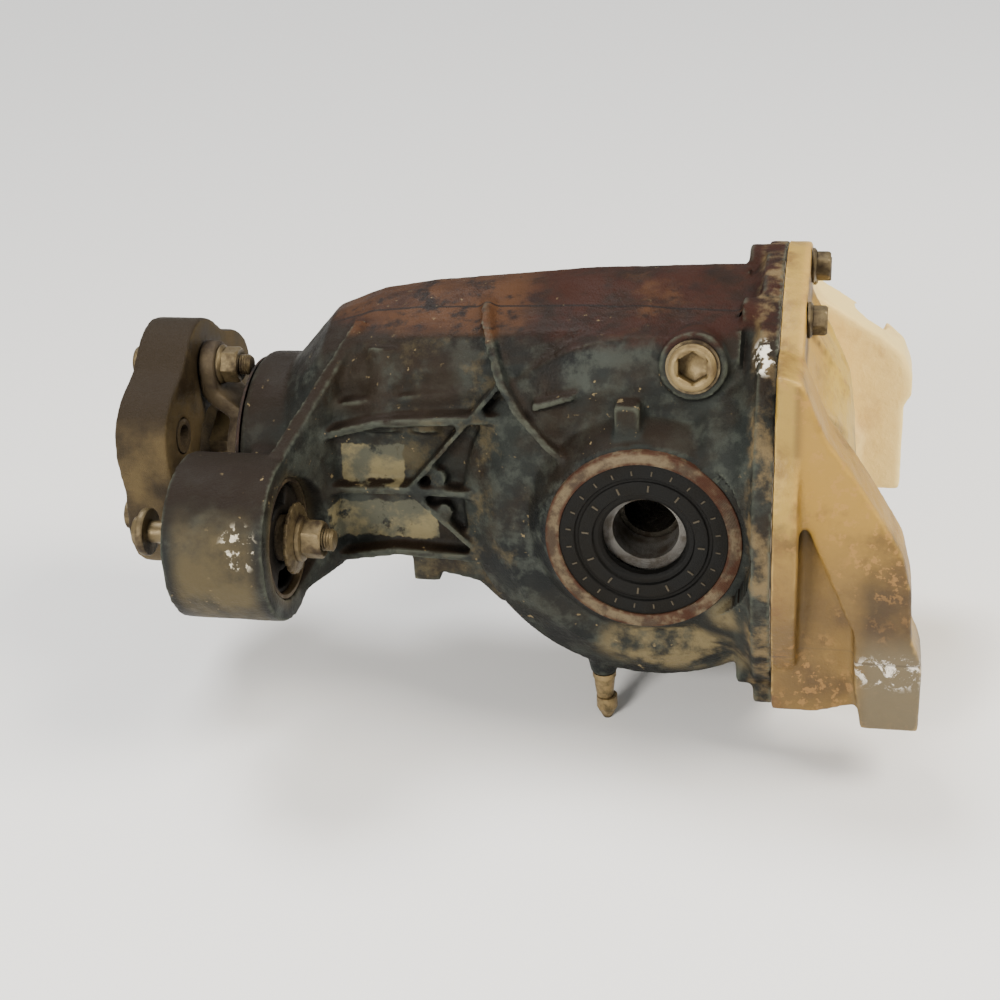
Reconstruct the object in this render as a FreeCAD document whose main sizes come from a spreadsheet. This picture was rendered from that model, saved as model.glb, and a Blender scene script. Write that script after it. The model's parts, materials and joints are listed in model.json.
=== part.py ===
import FreeCAD, Part
import Sketcher
import math
import os

# Rear-axle differential: carrier housing, hypoid-style ring and pinion, differential case
# with side and planet gears, taper roller bearings, rear cover with mounting arms, and the
# rubber coupling that joins it to the propeller shaft.
#
# Frame: millimetres. X runs rearwards along the pinion axis, Y is the axle axis, Z is up.
# The origin is the centre of the propshaft bolt circle on the coupling's front face.

# ---------------------------------------------------------------- driving dimensions

DIMENSIONS = {
    # axle line
    "axle_x": 290.0,
    "hub_face": 96.0,
    "hub_radius": 49.5,
    "seal_radius": 42.5,
    "seal_lip_radius": 21.0,
    "seal_depth": 11.0,
    # carrier bowl and barrel
    "wall": 8.0,
    "bowl_radius": 105.0,
    "near_wall_y": 78.0,
    "far_wall_y": 78.0,
    "barrel_radius": 104.0,
    "opening_radius": 94.0,
    "flange_radius": 119.0,
    "flange_front_x": 344.0,
    "joint_x": 354.0,
    "cover_bolt_radius": 109.0,
    # pinion nose
    "nose_front_x": 63.0,
    "nose_radius": 55.0,
    "tunnel_radius": 60.0,
    "nose_seal_radius": 36.5,
    # pinion bearings
    "outer_bore": 15.5,
    "outer_cup_radius": 36.0,
    "outer_bearing_x": 79.0,
    "outer_bearing_width": 20.0,
    "inner_bore": 22.5,
    "inner_cup_radius": 45.0,
    "inner_bearing_x": 165.0,
    "inner_bearing_width": 25.0,
    # side bearings
    "side_bore": 22.5,
    "side_cup_radius": 40.0,
    "side_bearing_y": 61.0,
    "side_bearing_width": 20.0,
    # final drive gears
    "ring_pitch_radius": 86.0,
    "cone_face_width": 27.0,
    "ring_back_y": 49.0,
    "ring_bore_radius": 56.0,
    "ring_bolt_radius": 67.0,
    # differential case and its gears
    "case_radius": 53.0,
    "case_flange_radius": 79.0,
    "case_flange_y": 58.0,
    "case_cavity_radius": 45.5,
    "cross_pin_radius": 9.0,
    "side_gear_pitch_radius": 35.0,
    "side_gear_face_width": 13.0,
    "output_bore_radius": 14.0,
    # coupling and flange
    "coupling_thickness": 30.0,
    "coupling_radius": 76.0,
    "coupling_waist": 67.0,
    "coupling_hole_radius": 24.0,
    "bolt_circle_radius": 50.0,
    "bolt_radius": 6.0,
    "sleeve_radius": 9.5,
    "hub_tube_radius": 24.0,
    # rear cover
    "gasket": 0.6,
    "cover_flange_thickness": 12.4,
    "dome_x": 394.0,
    "arm_outer_y": 106.0,
    "arm_inner_y": 74.0,
    "near_foot_z": -98.0,
    "far_foot_z": -52.0,
    "foot_hole_radius": 6.0,
    # front bush ear
    "ear_y": -105.0,
    "ear_z": -2.0,
    "ear_radius": 43.5,
    "ear_front_x": 54.0,
    "ear_rear_x": 108.0,
    "bush_radius": 31.5,
    "bush_sleeve_radius": 12.0,
}

RING_TEETH = 41
PINION_TEETH = 14
SIDE_TEETH = 16
PLANET_TEETH = 10
COVER_BOLT_ANGLES = (6, 36, 66, 96, 126, 156, 186, 216, 336)
FIN_COUNT = 12
RING_BOLT_COUNT = 10
RUNNING = 0.05
CUP_EDGE = 1.0
BACKLASH = 0.80
PINION_TOE_RELIEF = 3.6
SLEEVE_PLAY = (0.03, 0.30)

X_AXIS = FreeCAD.Vector(1, 0, 0)
Y_AXIS = FreeCAD.Vector(0, 1, 0)
Z_AXIS = FreeCAD.Vector(0, 0, 1)
DOWEL_ANGLES = (51, 231)
FILLER_TILT = math.radians(12)
FILLER_AXIS = FreeCAD.Vector(0, -math.cos(FILLER_TILT), math.sin(FILLER_TILT))
WALL_LEAN = FreeCAD.Vector(0, 0.35, 0.94)

doc = FreeCAD.newDocument("differential")
sheet = doc.addObject("Spreadsheet::Sheet", "Dims")


class Size:
    """A length that carries its value and the sheet formula it comes from."""

    def __init__(self, value, formula):
        self.value = value
        self.formula = formula

    def __add__(self, other):
        return join(self, "+", other, self.value + number(other))

    def __radd__(self, other):
        return join(other, "+", self, number(other) + self.value)

    def __sub__(self, other):
        return join(self, "-", other, self.value - number(other))

    def __rsub__(self, other):
        return join(other, "-", self, number(other) - self.value)

    def __mul__(self, other):
        return join(self, "*", other, self.value * number(other))

    def __rmul__(self, other):
        return join(other, "*", self, number(other) * self.value)

    def __truediv__(self, other):
        return join(self, "/", other, self.value / number(other))

    def __neg__(self):
        return join(-1.0, "*", self, -self.value)


def number(size):
    return size.value if isinstance(size, Size) else float(size)


def formula(size):
    return size.formula if isinstance(size, Size) else f"{size:.6f}"


def join(left, sign, right, value):
    return Size(value, f"({formula(left)} {sign} {formula(right)})")


class Dims:
    """The sheet's cells, one attribute for each alias."""


dims = Dims()
for row, (alias, value) in enumerate(DIMENSIONS.items(), start=1):
    sheet.set(f"A{row}", alias)
    sheet.set(f"B{row}", str(value))
    sheet.setAlias(f"B{row}", alias)
    setattr(dims, alias, Size(value, f"Dims.{alias}"))
doc.recompute()

parts = {}


# ---------------------------------------------------------------- building helpers

def bind(item, name, size):
    """Set a property from a size, through the sheet where it has a formula."""
    if isinstance(size, Size):
        item.setExpression(name, size.formula)
    else:
        item.setExpression(name, f"{size:.6f}")


def place(item, base, direction=Z_AXIS, spin=0.0):
    """Stand an object's own Z axis along a direction, at a base point."""
    turn = FreeCAD.Rotation(Z_AXIS, direction).multiply(FreeCAD.Rotation(Z_AXIS, spin))
    point = FreeCAD.Vector(*[number(value) for value in base])
    item.Placement = FreeCAD.Placement(point, turn)
    for letter, value in zip("xyz", base):
        bind(item, f"Placement.Base.{letter}", value)


def cylinder(name, radius, length, base, direction=Z_AXIS):
    item = doc.addObject("Part::Cylinder", name)
    bind(item, "Radius", radius)
    bind(item, "Height", length)
    place(item, base, direction)
    return item


def cone(name, start_radius, end_radius, length, base, direction=Z_AXIS):
    item = doc.addObject("Part::Cone", name)
    bind(item, "Radius1", start_radius)
    bind(item, "Radius2", end_radius)
    bind(item, "Height", length)
    place(item, base, direction)
    return item


def hexagon(name, flats, length, base, direction=Z_AXIS, spin=0.0):
    item = doc.addObject("Part::Prism", name)
    item.Polygon = 6
    bind(item, "Circumradius", flats / math.sqrt(3))
    bind(item, "Height", length)
    place(item, base, direction, spin)
    return item


def box(name, low, high):
    """A box between two corners."""
    item = doc.addObject("Part::Box", name)
    for side, first, last in zip(("Length", "Width", "Height"), low, high):
        bind(item, side, last - first)
    place(item, low)
    return item


def fuse(name, *shapes):
    item = doc.addObject("Part::MultiFuse", name)
    item.Shapes = list(shapes)
    return item


def common(name, *shapes):
    item = doc.addObject("Part::MultiCommon", name)
    item.Shapes = list(shapes)
    return item


def cut(name, base, tool):
    item = doc.addObject("Part::Cut", name)
    item.Base = base
    item.Tool = tool
    return item


def group(name, shapes):
    item = doc.addObject("Part::Compound", name)
    item.Links = list(shapes)
    return item


def solid(name, shape):
    item = doc.addObject("Part::Feature", name)
    item.Shape = shape
    item.Placement = FreeCAD.Placement()
    return item


def publish(label, item):
    """Name a finished sub-part. The label is also its file's name."""
    item.Label = label
    parts[label] = item
    return item


def plane(body, role):
    return [part for part in body.Origin.OriginFeatures if part.Role == role][0]


def draw(sketch, outline):
    """A closed outline of straight edges, each corner held by two dimensions."""
    corners = [FreeCAD.Vector(number(across), number(up), 0) for across, up in outline]
    count = len(corners)
    for index in range(count):
        edge = Part.LineSegment(corners[index], corners[(index + 1) % count])
        sketch.addGeometry(edge, False)
    for index in range(count):
        sketch.addConstraint(Sketcher.Constraint("Coincident", index, 2, (index + 1) % count, 1))
    for index, (across, up) in enumerate(outline):
        for kind, size in (("DistanceX", across), ("DistanceY", up)):
            row = sketch.addConstraint(Sketcher.Constraint(kind, -1, 1, index, 1, number(size)))
            if isinstance(size, Size):
                sketch.setExpression(f"Constraints[{row}]", size.formula)


def sketch_on(body, role, outline, offset=0.0):
    """A sketch on one of the body's own origin planes, moved along the plane's normal."""
    sketch = body.newObject("Sketcher::SketchObject", body.Name + "_outline")
    sketch.AttachmentSupport = [(plane(body, role), "")]
    sketch.MapMode = "FlatFace"
    bind(sketch, "AttachmentOffset.Base.z", offset)
    draw(sketch, outline)
    return sketch


def new_body(name, base=(0, 0, 0)):
    body = doc.addObject("PartDesign::Body", name)
    for letter, value in zip("xyz", base):
        bind(body, f"Placement.Base.{letter}", value)
    return body


def turned(name, outline, along="X"):
    """A turned piece. Corners are (position, radius) along X, or along Y on the axle line."""
    if along == "X":
        body = new_body(name)
        profile, axis = outline, "H_Axis"
    else:
        body = new_body(name, (dims.axle_x, 0, 0))
        profile, axis = [(radius, position) for position, radius in outline], "V_Axis"
    sketch = sketch_on(body, "XY_Plane", profile)
    turn = body.newObject("PartDesign::Revolution", name + "_turn")
    turn.Profile = sketch
    turn.ReferenceAxis = (sketch, [axis])
    turn.Angle = 360
    return body


def plate(name, outline, low_y, high_y):
    """A flat piece seen from the side: an X-Z outline, thick along Y."""
    body = new_body(name, (0, high_y, 0))
    pad = body.newObject("PartDesign::Pad", name + "_pad")
    pad.Profile = sketch_on(body, "XZ_Plane", outline)
    bind(pad, "Length", high_y - low_y)
    body.Tip = pad
    return body


def lofted(name, role, sections, base=(0, 0, 0)):
    """A straight-sided loft through outlines at offsets along a plane's normal."""
    body = new_body(name, base)
    sketches = [sketch_on(body, role, outline, offset) for offset, outline in sections]
    loft = body.newObject("PartDesign::AdditiveLoft", name + "_loft")
    loft.Profile = sketches[0]
    loft.Sections = sketches[1:]
    loft.Ruled = True
    body.Tip = loft
    return body


def around_x(radius, degrees):
    """Y and Z of a point on a circle about the pinion axis, from straight up towards +Y."""
    angle = math.radians(degrees)
    return radius * math.sin(angle), radius * math.cos(angle)


def side_name(side):
    return "near" if side < 0 else "far"


# ---------------------------------------------------------------- bevel gears

class BevelGear:
    """A bevel gear with its pitch apex at the origin, opening along its axis."""

    def __init__(self, teeth, mate_teeth, pitch_radius, face_width, addendum, dedendum,
                 thickness, spiral_degrees=0.0, pressure_degrees=22.5):
        self.teeth = teeth
        self.radius = pitch_radius
        self.cone = math.atan2(teeth, mate_teeth)
        self.distance = pitch_radius / math.sin(self.cone)
        self.toe = 1 - face_width / self.distance
        self.middle = self.distance * (1 + self.toe) / 2
        self.module = 2 * pitch_radius / teeth
        self.addendum = addendum * self.module
        self.dedendum = dedendum * self.module
        self.thickness = thickness * self.module - BACKLASH / 2
        self.spiral = math.radians(spiral_degrees)
        self.pressure = math.radians(pressure_degrees)

    def phase(self, distance):
        """How far the spiral has turned a tooth at a distance from the apex."""
        return math.tan(self.spiral) / math.sin(self.cone) * math.log(distance / self.middle)

    def half_angle(self, height):
        """Half a tooth's angle, seen from the axis, at a height above the pitch cone."""
        virtual = self.distance * math.tan(self.cone)
        base = virtual * math.cos(self.pressure)
        here = max(virtual + height, base)
        roll = math.acos(base / here)
        involute = math.tan(self.pressure) - self.pressure - math.tan(roll) + roll
        return (self.thickness / 2 / virtual + involute) / math.cos(self.cone)

    def point(self, height, scale=1.0):
        """Axial position and radius of a point on the heel's back cone."""
        axial = self.distance * math.cos(self.cone) - height * math.sin(self.cone)
        radius = self.distance * math.sin(self.cone) + height * math.cos(self.cone)
        return axial * scale, radius * scale

    def section(self, axial, start, swing):
        """The toothed outline in a plane across the axis."""
        heights = [-self.dedendum, -self.addendum * 0.5, self.addendum * 0.3, self.addendum]
        corners = []
        for tooth in range(self.teeth):
            middle = start + tooth * 2 * math.pi / self.teeth
            for side, order in ((-1, heights), (1, heights[::-1])):
                for height in order:
                    along, radius = self.point(height)
                    distance = math.hypot(along, radius) * axial / along
                    angle = middle + side * self.half_angle(height) + swing * self.phase(distance)
                    reach = radius * axial / along
                    corners.append(FreeCAD.Vector(reach * math.cos(angle), reach * math.sin(angle), axial))
        return Part.makePolygon(corners + corners[:1])

    def shape(self, body_outline, start, swing=1, planes=2):
        """Teeth trimmed to the face width, on a turned body."""
        below = -self.dedendum - 0.5
        rim = [self.point(self.addendum), self.point(self.addendum, self.toe),
               self.point(below, self.toe), self.point(below)]
        low = rim[1][0] * 0.93
        high = rim[3][0] * 1.04
        outlines = [self.section(low + (high - low) * step / (planes - 1), start, swing)
                    for step in range(planes)]
        teeth = Part.makeLoft(outlines, True, planes == 2)
        return teeth.common(spun(rim)).fuse(spun(body_outline))


def spun(outline):
    """A turned solid from (axial, radius) corners, about Z."""
    corners = [FreeCAD.Vector(radius, 0, axial) for axial, radius in outline]
    face = Part.Face(Part.makePolygon(corners + corners[:1]))
    return face.revolve(FreeCAD.Vector(), Z_AXIS, 360)


def stand_gear(shape, axis, first):
    """Stand a gear at the apex, its axis and its zero angle along two directions."""
    third = axis.cross(first)
    frame = FreeCAD.Matrix(first.x, third.x, axis.x, number(dims.axle_x),
                           first.y, third.y, axis.y, 0,
                           first.z, third.z, axis.z, 0,
                           0, 0, 0, 1)
    return shape.transformed(frame, True)


# ---------------------------------------------------------------- carrier housing

def carrier_outside():
    """The casting's outer form: bowl, barrel, pinion tunnel, roof, hubs, ear and joint flange."""
    shapes = [
        turned("bowl_outside", [
            (-dims.near_wall_y, 0), (-dims.near_wall_y, dims.bowl_radius - 27),
            (-dims.near_wall_y + 12, dims.bowl_radius - 7), (-dims.near_wall_y + 58, dims.bowl_radius),
            (15, dims.bowl_radius - 1), (48, dims.bowl_radius - 19),
            (dims.far_wall_y - 6, dims.bowl_radius - 43), (dims.far_wall_y, 50), (dims.far_wall_y, 0)],
            along="Y"),
        turned("barrel_outside", [
            (dims.axle_x - 30, 0), (dims.axle_x, dims.barrel_radius - 20),
            (dims.flange_front_x - 22, dims.barrel_radius),
            (dims.flange_front_x - 10, dims.barrel_radius + 2),
            (dims.flange_front_x, dims.flange_radius - 4), (dims.joint_x, dims.flange_radius),
            (dims.joint_x, 0)]),
        turned("joint_flange", [
            (dims.flange_front_x, 0), (dims.flange_front_x, dims.flange_radius),
            (dims.joint_x, dims.flange_radius), (dims.joint_x, 0)]),
        turned("tunnel_outside", [
            (dims.nose_front_x, 0), (dims.nose_front_x, dims.nose_radius - 3),
            (dims.nose_front_x + 3, dims.nose_radius), (dims.nose_front_x + 23, dims.nose_radius),
            (dims.nose_front_x + 50, dims.tunnel_radius - 8), (dims.axle_x - 100, dims.tunnel_radius),
            (dims.axle_x - 60, dims.tunnel_radius + 12), (dims.axle_x - 60, 0)]),
        roof(),
    ]
    for side in (-1, 1):
        name = side_name(side)
        shapes.append(cylinder(f"hub_{name}", dims.hub_radius, dims.hub_face - 30,
                               (dims.axle_x, side * 30, 0), Y_AXIS * side))
        shapes.append(cone(f"hub_root_{name}", dims.hub_radius + 16, dims.hub_radius + 2, 18,
                           (dims.axle_x, side * (dims.near_wall_y - 4), 0), Y_AXIS * side))
    shapes += ear() + side_walls() + bosses()
    return fuse("carrier_outside", *shapes)


def roof():
    """The crowned roof over the tunnel: (X, ridge height, half width, shoulder, belly depth)."""
    stations = [(dims.nose_front_x + 21, 54, 44, 27, 34), (dims.nose_front_x + 49, 85, 50, 58, 34),
                (dims.nose_front_x + 75, 95, 54, 68, 32), (dims.axle_x - 122, 100, 57, 73, 32),
                (dims.axle_x - 36, 108, 65, 82, 40), (dims.flange_front_x - 8, 111, 73, 89, 60)]
    sections = []
    for x, ridge, half, shoulder, belly in stations:
        sections.append((x, [(-8, ridge), (8, ridge), (22, ridge - 9), (half - 5, shoulder - 20),
                             (half - 5, -belly), (-half, -belly), (-half, shoulder),
                             (12 - half, ridge - 12), (-20, ridge - 4)]))
    return lofted("roof", "YZ_Plane", sections)


def ear():
    """The front ear for the bush, and the web that carries it from the tunnel."""
    barrel = cylinder("ear_barrel", dims.ear_radius, dims.ear_rear_x - dims.ear_front_x,
                      (dims.ear_front_x, dims.ear_y, dims.ear_z), X_AXIS)
    web = lofted("ear_web", "XZ_Plane", [
        (-dims.ear_y - 4, [(97, -40), (107, -40), (107, 40), (97, 40)]),
        (30, [(124, -38), (137, -38), (137, 90), (130, 90)])])
    floor = lofted("ear_floor", "XZ_Plane", [
        (-dims.ear_y - 20, [(66, -42), (106, -42), (106, 12), (66, 12)]),
        (30, [(76, -38), (128, -38), (128, 30), (76, 30)])])
    return [barrel, web, floor]


def rib_along(name, stations, thickness=5):
    """A rib through (X, Z, crest Y, root Y) stations: an upright strip that stands off a wall."""
    half = thickness / 2
    sections = [(x, [(crest, z - half), (crest, z + half), (root, z + half), (root, z - half)])
                for x, z, crest, root in stations]
    return lofted(name, "YZ_Plane", sections)


def rib_down(name, stations, thickness=5.5):
    """A rib that climbs a wall through (X, Z, crest Y, root Y) stations, from its foot up."""
    half = thickness / 2
    sections = [(z, [(x - half, crest), (x + half, crest), (x + half, root), (x - half, root)])
                for x, z, crest, root in stations]
    return lofted(name, "XY_Plane", sections)


def side_walls():
    """The flat tunnel walls, their crossing ribs, the belly under them and the small lugs."""
    wall = [(108, -41), (118, -37), (153, -31), (174, -44), (196, -49), (207, -61), (218, -62), (240, -79),
            (262, -60), (262, 66), (205, 66), (118, 54), (108, 30)]
    shapes = [plate("wall_near", wall, -61, -30), plate("wall_far", wall, 30, 56)]
    runs = [((112, 38), (150, 48), (240, 54)), ((112, 8), (163, 10), (246, 6)),
            ((112, -34), (153, -27), (246, -32)), ((163, 10), (217, 73)), ((163, 10), (225, -52))]
    for index, run in enumerate(runs):
        shapes.append(rib_along(f"rib_near_{index}", [(x, z, -71, -50) for x, z in run]))
        shapes.append(rib_along(f"rib_far_{index}", [(x, min(z, 54), 63, 44) for x, z in run]))
    shapes.append(rib_along("rib_short", [(234, 64, -82, -60), (256, 71, -82, -60)], 4))
    shapes.append(rib_down("rib_round_bowl", [
        (254, 34, -88, -66), (240, 47, -87, -64), (227, 60, -82, -58), (217, 73, -75, -48),
        (209, 91, -60, -34), (202, 100, -36, -12)]))
    belly = [(146, -26), (174, -42), (196, -48), (207, -60), (218, -61), (240, -78), (266, -90), (290, -60),
             (290, -20)]
    shapes.append(plate("belly", belly, -56, 44))
    shapes.append(box("lug_over_hub", (276, -89, 44), (289, -70, 70)))
    shapes.append(box("lug_under_rib", (159, -61, -50), (174, -48, -30)))
    for index, (x, radius) in enumerate(((151, 12), (173, 11))):
        shapes.append(cylinder(f"wall_swelling_{index}", radius, 44, (x, -56, 38), WALL_LEAN))
    return shapes


def bosses():
    """Round bosses: cover bolts, filler, breather and the plain bosses on the near wall."""
    shapes = []
    for index, degrees in enumerate(COVER_BOLT_ANGLES):
        y, z = around_x(dims.cover_bolt_radius, degrees)
        shapes.append(cylinder(f"bolt_boss_{index}", 11, 15, (dims.flange_front_x - 9, y, z), X_AXIS))
    y, z = around_x(dims.flange_radius + 2, 212)
    shapes.append(cylinder("flange_lug", 9, dims.joint_x - dims.flange_front_x,
                           (dims.flange_front_x, y, z), X_AXIS))
    shapes.append(cylinder("filler_boss", 17, 34, filler_point(-32), FILLER_AXIS))
    shapes.append(cone("breather_boss", 15, 7.5, 42, (262, -56, -62), Z_AXIS * -1))
    shapes.append(box("wall_pad", (202, -64, 12), (222, -56, 36)))
    for index, (x, z, radius) in enumerate(((219, -9, 9), (179, 17, 5), (181, -3, 5))):
        shapes.append(cylinder(f"wall_boss_{index}", radius, 24, (x, -68, z), Y_AXIS))
    return shapes


def filler_point(out):
    """A point on the filler's axis, so far out from its boss face."""
    return (dims.axle_x + 24,
            -dims.near_wall_y + FILLER_AXIS.y * out,
            FILLER_AXIS.z * out + dims.bowl_radius - 17)


def carrier_inside():
    """Everything cut out of the casting: oil space, bearing seats, seal seats and holes."""
    wall = dims.wall
    near = -dims.near_wall_y + wall
    far = dims.far_wall_y - wall
    shapes = [
        turned("oil_space", [
            (near, 0), (near, dims.bowl_radius - 26), (near + 12, dims.bowl_radius - 16),
            (near + 50, dims.bowl_radius - wall), (12, dims.bowl_radius - 9), (42, dims.bowl_radius - 27),
            (far - 6, 54), (far, 48), (far, 0)], along="Y"),
        turned("cover_opening", [
            (dims.axle_x, 0), (dims.axle_x, dims.opening_radius - 20),
            (dims.flange_front_x - 24, dims.opening_radius), (dims.joint_x + 5, dims.opening_radius),
            (dims.joint_x + 5, 0)]),
        turned("pinion_bore", [
            (dims.nose_front_x - 5, 0), (dims.nose_front_x - 5, dims.nose_seal_radius),
            (dims.outer_bearing_x, dims.nose_seal_radius), (dims.outer_bearing_x, dims.outer_cup_radius),
            (dims.outer_bearing_x + dims.outer_bearing_width, dims.outer_cup_radius),
            (dims.outer_bearing_x + dims.outer_bearing_width, dims.outer_cup_radius - 5),
            (dims.inner_bearing_x + CUP_EDGE, dims.outer_cup_radius - 5),
            (dims.inner_bearing_x + CUP_EDGE, dims.inner_cup_radius),
            (dims.axle_x - 78, dims.inner_cup_radius), (dims.axle_x - 78, 0)]),
        cylinder("ear_bore", dims.bush_radius, dims.ear_rear_x - dims.ear_front_x + 40,
                 (dims.ear_front_x - 10, dims.ear_y, dims.ear_z), X_AXIS),
        cylinder("filler_hole", 10, 60, filler_point(-50), FILLER_AXIS),
        cylinder("breather_hole", 3.2, 90, (262, -56, -110), Z_AXIS),
    ]
    for index, degrees in enumerate(COVER_BOLT_ANGLES):
        y, z = around_x(dims.cover_bolt_radius, degrees)
        shapes.append(cylinder(f"bolt_hole_{index}", 4, 30, (dims.joint_x - 20, y, z), X_AXIS))
    for index, degrees in enumerate(DOWEL_ANGLES):
        y, z = around_x(dims.cover_bolt_radius, degrees)
        shapes.append(cylinder(f"dowel_hole_{index}", 3, 8, (dims.joint_x - 7, y, z), X_AXIS))
    return fuse("carrier_inside", *shapes)


def hub_seats(side):
    """The stepped bore in one hub: bearing cup, retaining ring groove and seal."""
    name = side_name(side)
    cup_end = dims.side_bearing_y + dims.side_bearing_width - 1
    steps = [(dims.side_bearing_y - 14, 0), (dims.side_bearing_y - 14, dims.side_cup_radius),
             (cup_end, dims.side_cup_radius), (cup_end, dims.side_cup_radius + 2.2),
             (cup_end + 2.1, dims.side_cup_radius + 2.2), (cup_end + 2.1, dims.side_cup_radius),
             (dims.hub_face - dims.seal_depth, dims.side_cup_radius),
             (dims.hub_face - dims.seal_depth, dims.seal_radius),
             (dims.hub_face, dims.seal_radius), (dims.hub_face, dims.hub_radius + 0.6),
             (dims.hub_face + 30, dims.hub_radius + 0.6), (dims.hub_face + 30, 0)]
    return turned(f"hub_bore_{name}", [(side * position, radius) for position, radius in steps], along="Y")


def inner_hubs():
    """Bearing bosses that stand into the oil space, added back after it is cut."""
    shapes = []
    for side in (-1, 1):
        shapes.append(cylinder(f"inner_hub_{side_name(side)}", dims.hub_radius - 1.5, 14,
                               (dims.axle_x, side * (dims.side_bearing_y - 1), 0), Y_AXIS * side))
    shapes.append(cylinder("inner_pinion_boss", dims.inner_cup_radius + 9, 26,
                           (dims.inner_bearing_x + 1, 0, 0), X_AXIS))
    return shapes


def build_carrier():
    hollow = cut("carrier_hollow", carrier_outside(), carrier_inside())
    with_hubs = fuse("carrier_with_hubs", hollow, *inner_hubs())
    seats = fuse("hub_seats", hub_seats(-1), hub_seats(1),
                 box("joint_trim", (dims.joint_x, -150, -150), (dims.joint_x + 60, 150, 150)),
                 cylinder("inner_cup_seat", dims.inner_cup_radius, 40,
                          (dims.inner_bearing_x + CUP_EDGE, 0, 0), X_AXIS),
                 cylinder("tunnel_way", dims.outer_cup_radius - 5, 20,
                          (dims.inner_bearing_x - 10, 0, 0), X_AXIS))
    publish("carrier_housing", cut("carrier_casting", with_hubs, seats))


# ---------------------------------------------------------------- rear cover

def build_cover():
    face = dims.joint_x + dims.gasket
    back = face + dims.cover_flange_thickness
    dome = turned("cover_dome", [
        (face, 0), (face, dims.flange_radius), (back, dims.flange_radius), (back, 89),
        (back + 6, 78), (back + 14, 65), (dims.dome_x - 6, 50), (dims.dome_x - 2.5, 30), (dims.dome_x, 0)])
    near_arm = plate("near_arm", [
        (face, 96), (back, 92), (379, 63), (392, 45), (405, 24), (417, 3), (422, -19), (423, -44),
        (427, -53), (429, -60), (429, dims.near_foot_z), (400, dims.near_foot_z), (396, -73), (395, -43),
        (372, 12), (face, 52)], -dims.arm_outer_y, -dims.arm_inner_y)
    near_web = plate("near_web", [
        (face, 60), (372, 12), (398, -46), (403, -84), (398, -92), (378, -98), (face, -98)],
        -dims.arm_outer_y + 12, -dims.arm_inner_y + 4)
    far_arm = plate("far_arm", [
        (face, 78), (back, 70), (387, 57), (407, 44), (419, 33), (424, 20), (424, 8), (420, 2),
        (420, dims.far_foot_z), (398, dims.far_foot_z), (396, -38), (388, -30), (372, 0), (face, 20)],
        dims.arm_inner_y, dims.arm_outer_y)
    far_web = plate("far_web", [
        (face, 30), (380, 6), (396, -16), (394, -48), (374, -60), (face, -74)],
        dims.arm_inner_y - 4, dims.arm_outer_y - 14)
    pads = []
    for index, degrees in enumerate(COVER_BOLT_ANGLES):
        y, z = around_x(dims.cover_bolt_radius, degrees)
        pads.append(cylinder(f"cover_pad_{index}", 10.5, dims.cover_flange_thickness, (face, y, z), X_AXIS))
    outside = fuse("cover_outside", dome, near_arm, near_web, far_arm, far_web, dome_fins(back), *pads)
    inside = turned("cover_inside", [
        (face - 5, 0), (face - 5, dims.opening_radius - 3), (face + 3, dims.opening_radius - 5),
        (back + 1, 79), (back + 8, 65), (back + 15, 48), (dims.dome_x - 9, 30), (dims.dome_x - 7, 0)])
    holes = [inside]
    for index, degrees in enumerate(COVER_BOLT_ANGLES):
        y, z = around_x(dims.cover_bolt_radius, degrees)
        holes.append(cylinder(f"cover_hole_{index}", 4.5, 60, (face - 5, y, z), X_AXIS))
        holes.append(cylinder(f"cover_spot_{index}", 9.6, 40, (back, y, z), X_AXIS))
    for index, degrees in enumerate(DOWEL_ANGLES):
        y, z = around_x(dims.cover_bolt_radius, degrees)
        holes.append(cylinder(f"cover_dowel_{index}", 3, 6, (face - 1, y, z), X_AXIS))
    middle = (dims.arm_outer_y + dims.arm_inner_y) / 2
    feet = (("near", -middle, dims.near_foot_z, 414.5), ("far", middle, dims.far_foot_z, 409))
    for name, y, bottom, x in feet:
        holes.append(cylinder(f"foot_hole_{name}", dims.foot_hole_radius, 30, (x, y, bottom), Z_AXIS))
    publish("rear_cover", cut("cover_casting", outside, fuse("cover_holes", *holes)))
    gasket = turned("gasket_ring", [
        (dims.joint_x, dims.opening_radius), (dims.joint_x, dims.flange_radius - 1),
        (face, dims.flange_radius - 1), (face, dims.opening_radius)])
    openings = [cylinder(f"gasket_hole_{index}", 4.6, 4,
                         (dims.joint_x - 1, *around_x(dims.cover_bolt_radius, degrees)),
                         X_AXIS) for index, degrees in enumerate(COVER_BOLT_ANGLES)]
    openings += [cylinder(f"gasket_dowel_{index}", 3.1, 4,
                          (dims.joint_x - 1, *around_x(dims.cover_bolt_radius, degrees)), X_AXIS)
                 for index, degrees in enumerate(DOWEL_ANGLES)]
    publish("cover_gasket", cut("gasket_sheet", gasket, fuse("gasket_holes", *openings)))
    build_cover_fasteners(back)


def dome_fins(back):
    """Cast ribs that run out over the dome, as one star about the pinion axis."""
    body = new_body("dome_fins")
    pad = body.newObject("PartDesign::Pad", "fin_pad")
    pad.Profile = sketch_on(body, "XZ_Plane", [
        (back - 6, 0), (dims.dome_x - 1, 0), (dims.dome_x - 2, 30), (dims.dome_x - 5, 52),
        (back + 12, 74), (back, 96), (back - 6, 96)])
    pad.Length = 5
    pad.SideType = "Symmetric"
    pattern = body.newObject("PartDesign::PolarPattern", "fin_pattern")
    pattern.Originals = [pad]
    pattern.Axis = (plane(body, "X_Axis"), [""])
    pattern.Angle = 360
    pattern.Occurrences = FIN_COUNT
    body.Tip = pattern
    body.Placement = FreeCAD.Placement(FreeCAD.Vector(), FreeCAD.Rotation(X_AXIS, 180 / FIN_COUNT))
    return body


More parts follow.
